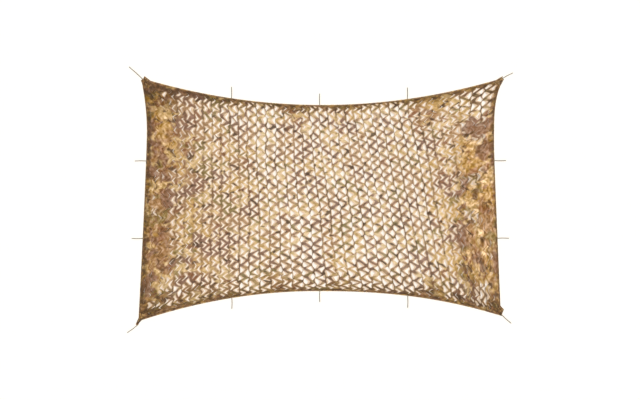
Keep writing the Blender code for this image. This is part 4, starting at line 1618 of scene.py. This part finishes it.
tack_lines = []
for tie_root, tie_end in tie_routes.values():
    outward = (tie_end - tie_root).normalized()
    lift = Vector((0, 0, TIE_LIFT + TIE_THICK / 2 - TACK_SUNK))
    tack_lines.append([tie_root - outward * inside + lift for inside in TACK_FROM_TO])
bar_tacks = line_piece("bar_tacks", tack_lines)
use_tree(
    bar_tacks,
    stitch_tree,
    {
        "Pitch": 0.0012,
        "Length": 0.0066,
        "Rise": 0.0009,
        "Thread": 0.0011,
        "Turned": math.pi / 2,
        "Material": thread,
    },
)
keep_shape(bar_tacks)
print("bar tacks:", len(bar_tacks.data.polygons), "faces")

# %% [markdown]
# ## The tie cords' finish
# Each tie is a laid cord of polyester, weathered to a dull olive brown. Its three strands are in the mesh,
# and the finer yarns in each strand are drawn by the material, with a thin wave that slants as they do. The
# free end was cut with a hot knife, which melts it to a hard, darker bead.

# %% Cord finish
MELTED_LENGTH = 0.006
YARN_PITCH = 0.0024
YARN_ROUGHNESS = 0.85
MELTED_ROUGHNESS = 0.45
STAIN_SIZE = 0.008
STAIN = Span(0.42, 0.62, 0.0, 0.45)
CORD_COLOURS = ("4a3f28", "706241")
STAIN_COLOUR = "5b4c38"
MELTED_COLOUR = "33271a"


def laid_cord():
    """Weathered polyester cord: matt yarns, paler on their crests and darker between them, and a dark melted
    tip.
    """
    material, tree, shader = new_material("laid_polyester_cord")
    place = node(tree, "ShaderNodeTexCoord").outputs["Object"]
    to_tip = node(tree, "ShaderNodeAttribute", attribute_name="to_tip").outputs["Fac"]
    yarns = node(
        tree, "ShaderNodeTexWave", place, math.tau / 10 / YARN_PITCH, 3.0, 2.0, bands_direction="DIAGONAL"
    )
    weather = node(tree, "ShaderNodeTexNoise", place, None, 0.5 / STAIN_SIZE, 3.0, 0.6)
    stain = node(tree, "ShaderNodeMapRange", weather, *STAIN)
    melted = node(
        tree, "ShaderNodeMapRange", to_tip, 0.0, MELTED_LENGTH, 1.0, 0.0, interpolation_type="SMOOTHSTEP"
    )
    colour = linear(CORD_COLOURS[0])
    for amount, coat in ((yarns, CORD_COLOURS[1]), (stain, STAIN_COLOUR), (melted, MELTED_COLOUR)):
        layer = node(tree, "ShaderNodeMix", amount, data_type="RGBA", named={6: colour, 7: linear(coat)})
        colour = layer.outputs[2]
    tree.links.new(colour, shader.inputs["Base Color"])
    roughness = node(tree, "ShaderNodeMapRange", melted, 0.0, 1.0, YARN_ROUGHNESS, MELTED_ROUGHNESS)
    tree.links.new(roughness.outputs[0], shader.inputs["Roughness"])
    relief = node(tree, "ShaderNodeBump", named={"Strength": 0.4, "Distance": 0.0003, "Height": yarns})
    tree.links.new(relief.outputs[0], shader.inputs["Normal"])
    shader.inputs["Sheen Weight"].default_value = 0.1
    return material


tie_cord = laid_cord()
print("cord:", tie_cord.name)

# %% [markdown]
# Each tie gets the cord tree on its own line of points.

# %% Ties
for number, (name, (tie_root, tie_end)) in enumerate(tie_routes.items()):
    points = tie_path(tie_root, tie_end, TIE_BOW if number % 2 else -TIE_BOW)
    tie = line_piece(f"{name}_laid", [points])
    use_tree(
        tie,
        cord_tree,
        {
            "Thickness": CORD_CRESTS * TIE_THICK,
            "Strands": CORD_STRANDS,
            "Turn": CORD_TURN,
            "Groove": CORD_GROOVE,
            "Material": tie_cord,
        },
    )
    keep_shape(tie, crease_degrees=60)
    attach(tie, "root")
    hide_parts(name)
print("ties:", len(tie_routes), "of about", len(tie.data.polygons), "faces each")

# %% [markdown]
# ## The floor
# The net lies on a wide sheet of white studio paper, which is not part of the object. The cloth on both
# sides of a narrow slit keeps the lamp off the paper in it, and the slit would look grey. So the paper is
# lit a little from below, as on a light table.

# %% Floor
FLOOR_HALF = 30.0
PAPER_CLOUD = 0.035
PAPER_COLOURS = ("e6e1d9", "e8e3db")
GLOW_COLOUR = "fff2e4"
LIT_FROM_BELOW = 0.16

floor_mesh = bpy.data.meshes.new("floor")
floor_corners = [(FLOOR_HALF * x, FLOOR_HALF * y, 0.0) for x, y in ((-1, -1), (1, -1), (1, 1), (-1, 1))]
floor_mesh.from_pydata(floor_corners, [], [(0, 1, 2, 3)])
floor = bpy.data.objects.new("floor", floor_mesh)
scene.collection.objects.link(floor)


def studio_paper():
    """Seamless background paper: matt warm white, with a faint cloudiness from its fibres."""
    material, tree, shader = new_material("studio_paper")
    place = node(tree, "ShaderNodeTexCoord").outputs["Object"]
    fibres = node(tree, "ShaderNodeTexNoise", place, None, 0.5 / PAPER_CLOUD, 4.0, 0.6)
    greyer, whiter = [linear(colour) for colour in PAPER_COLOURS]
    colour = node(tree, "ShaderNodeMix", fibres, data_type="RGBA", named={6: greyer, 7: whiter})
    tree.links.new(colour.outputs[2], shader.inputs["Base Color"])
    shader.inputs["Roughness"].default_value = 0.95
    shader.inputs["Specular IOR Level"].default_value = 0.1
    shader.inputs["Emission Color"].default_value = linear(GLOW_COLOUR)
    shader.inputs["Emission Strength"].default_value = LIT_FROM_BELOW
    return material


floor_mesh.materials.append(studio_paper())
print("floor:", 2 * FLOOR_HALF, "m square")

# %% [markdown]
# ## Light
# A white room lights the net from all sides, and one very wide, soft lamp high on the right gives the folds
# and the curled edges a gentle shade. The lamp is a sun, so the floor is equally bright everywhere, and its
# wide angle keeps the shadows soft-edged. Together they bring the paper just up to white.

# %% Light
ROOM_LIGHT = 0.70
LAMP_LIGHT = 2.02
LAMP_FROM = (0.46, 0.38, 1.0)
LAMP_DEGREES = 28

world = bpy.data.worlds.new("studio")
world.use_nodes = True
world.node_tree.nodes["Background"].inputs["Color"].default_value = (1, 1, 1, 1)
world.node_tree.nodes["Background"].inputs["Strength"].default_value = ROOM_LIGHT
scene.world = world

lamp_data = bpy.data.lights.new("soft_lamp", "SUN")
lamp_data.energy = LAMP_LIGHT
lamp_data.angle = math.radians(LAMP_DEGREES)
lamp = bpy.data.objects.new("soft_lamp", lamp_data)
lamp.rotation_euler = Vector(LAMP_FROM).to_track_quat("Z", "Y").to_euler()
scene.collection.objects.link(lamp)
scene.view_settings.view_transform = "Standard"

steepness = Vector(LAMP_FROM).normalized().z
light_level = ROOM_LIGHT + LAMP_LIGHT * steepness / math.pi
paper_blue = linear(PAPER_COLOURS[0])[2] * light_level + linear(GLOW_COLOUR)[2] * LIT_FROM_BELOW
print("light level:", round(light_level, 3), "and the paper's blue, its darkest part:", round(paper_blue, 3))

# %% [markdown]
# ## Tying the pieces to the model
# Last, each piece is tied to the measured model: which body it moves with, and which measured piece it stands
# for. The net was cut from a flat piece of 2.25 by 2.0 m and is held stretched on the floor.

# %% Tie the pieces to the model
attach(net, "root")
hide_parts("net_panel")
trims = [*hems, corner_gathers, hem_stitches, bar_tacks]
for trim in trims:
    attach(trim, "root")
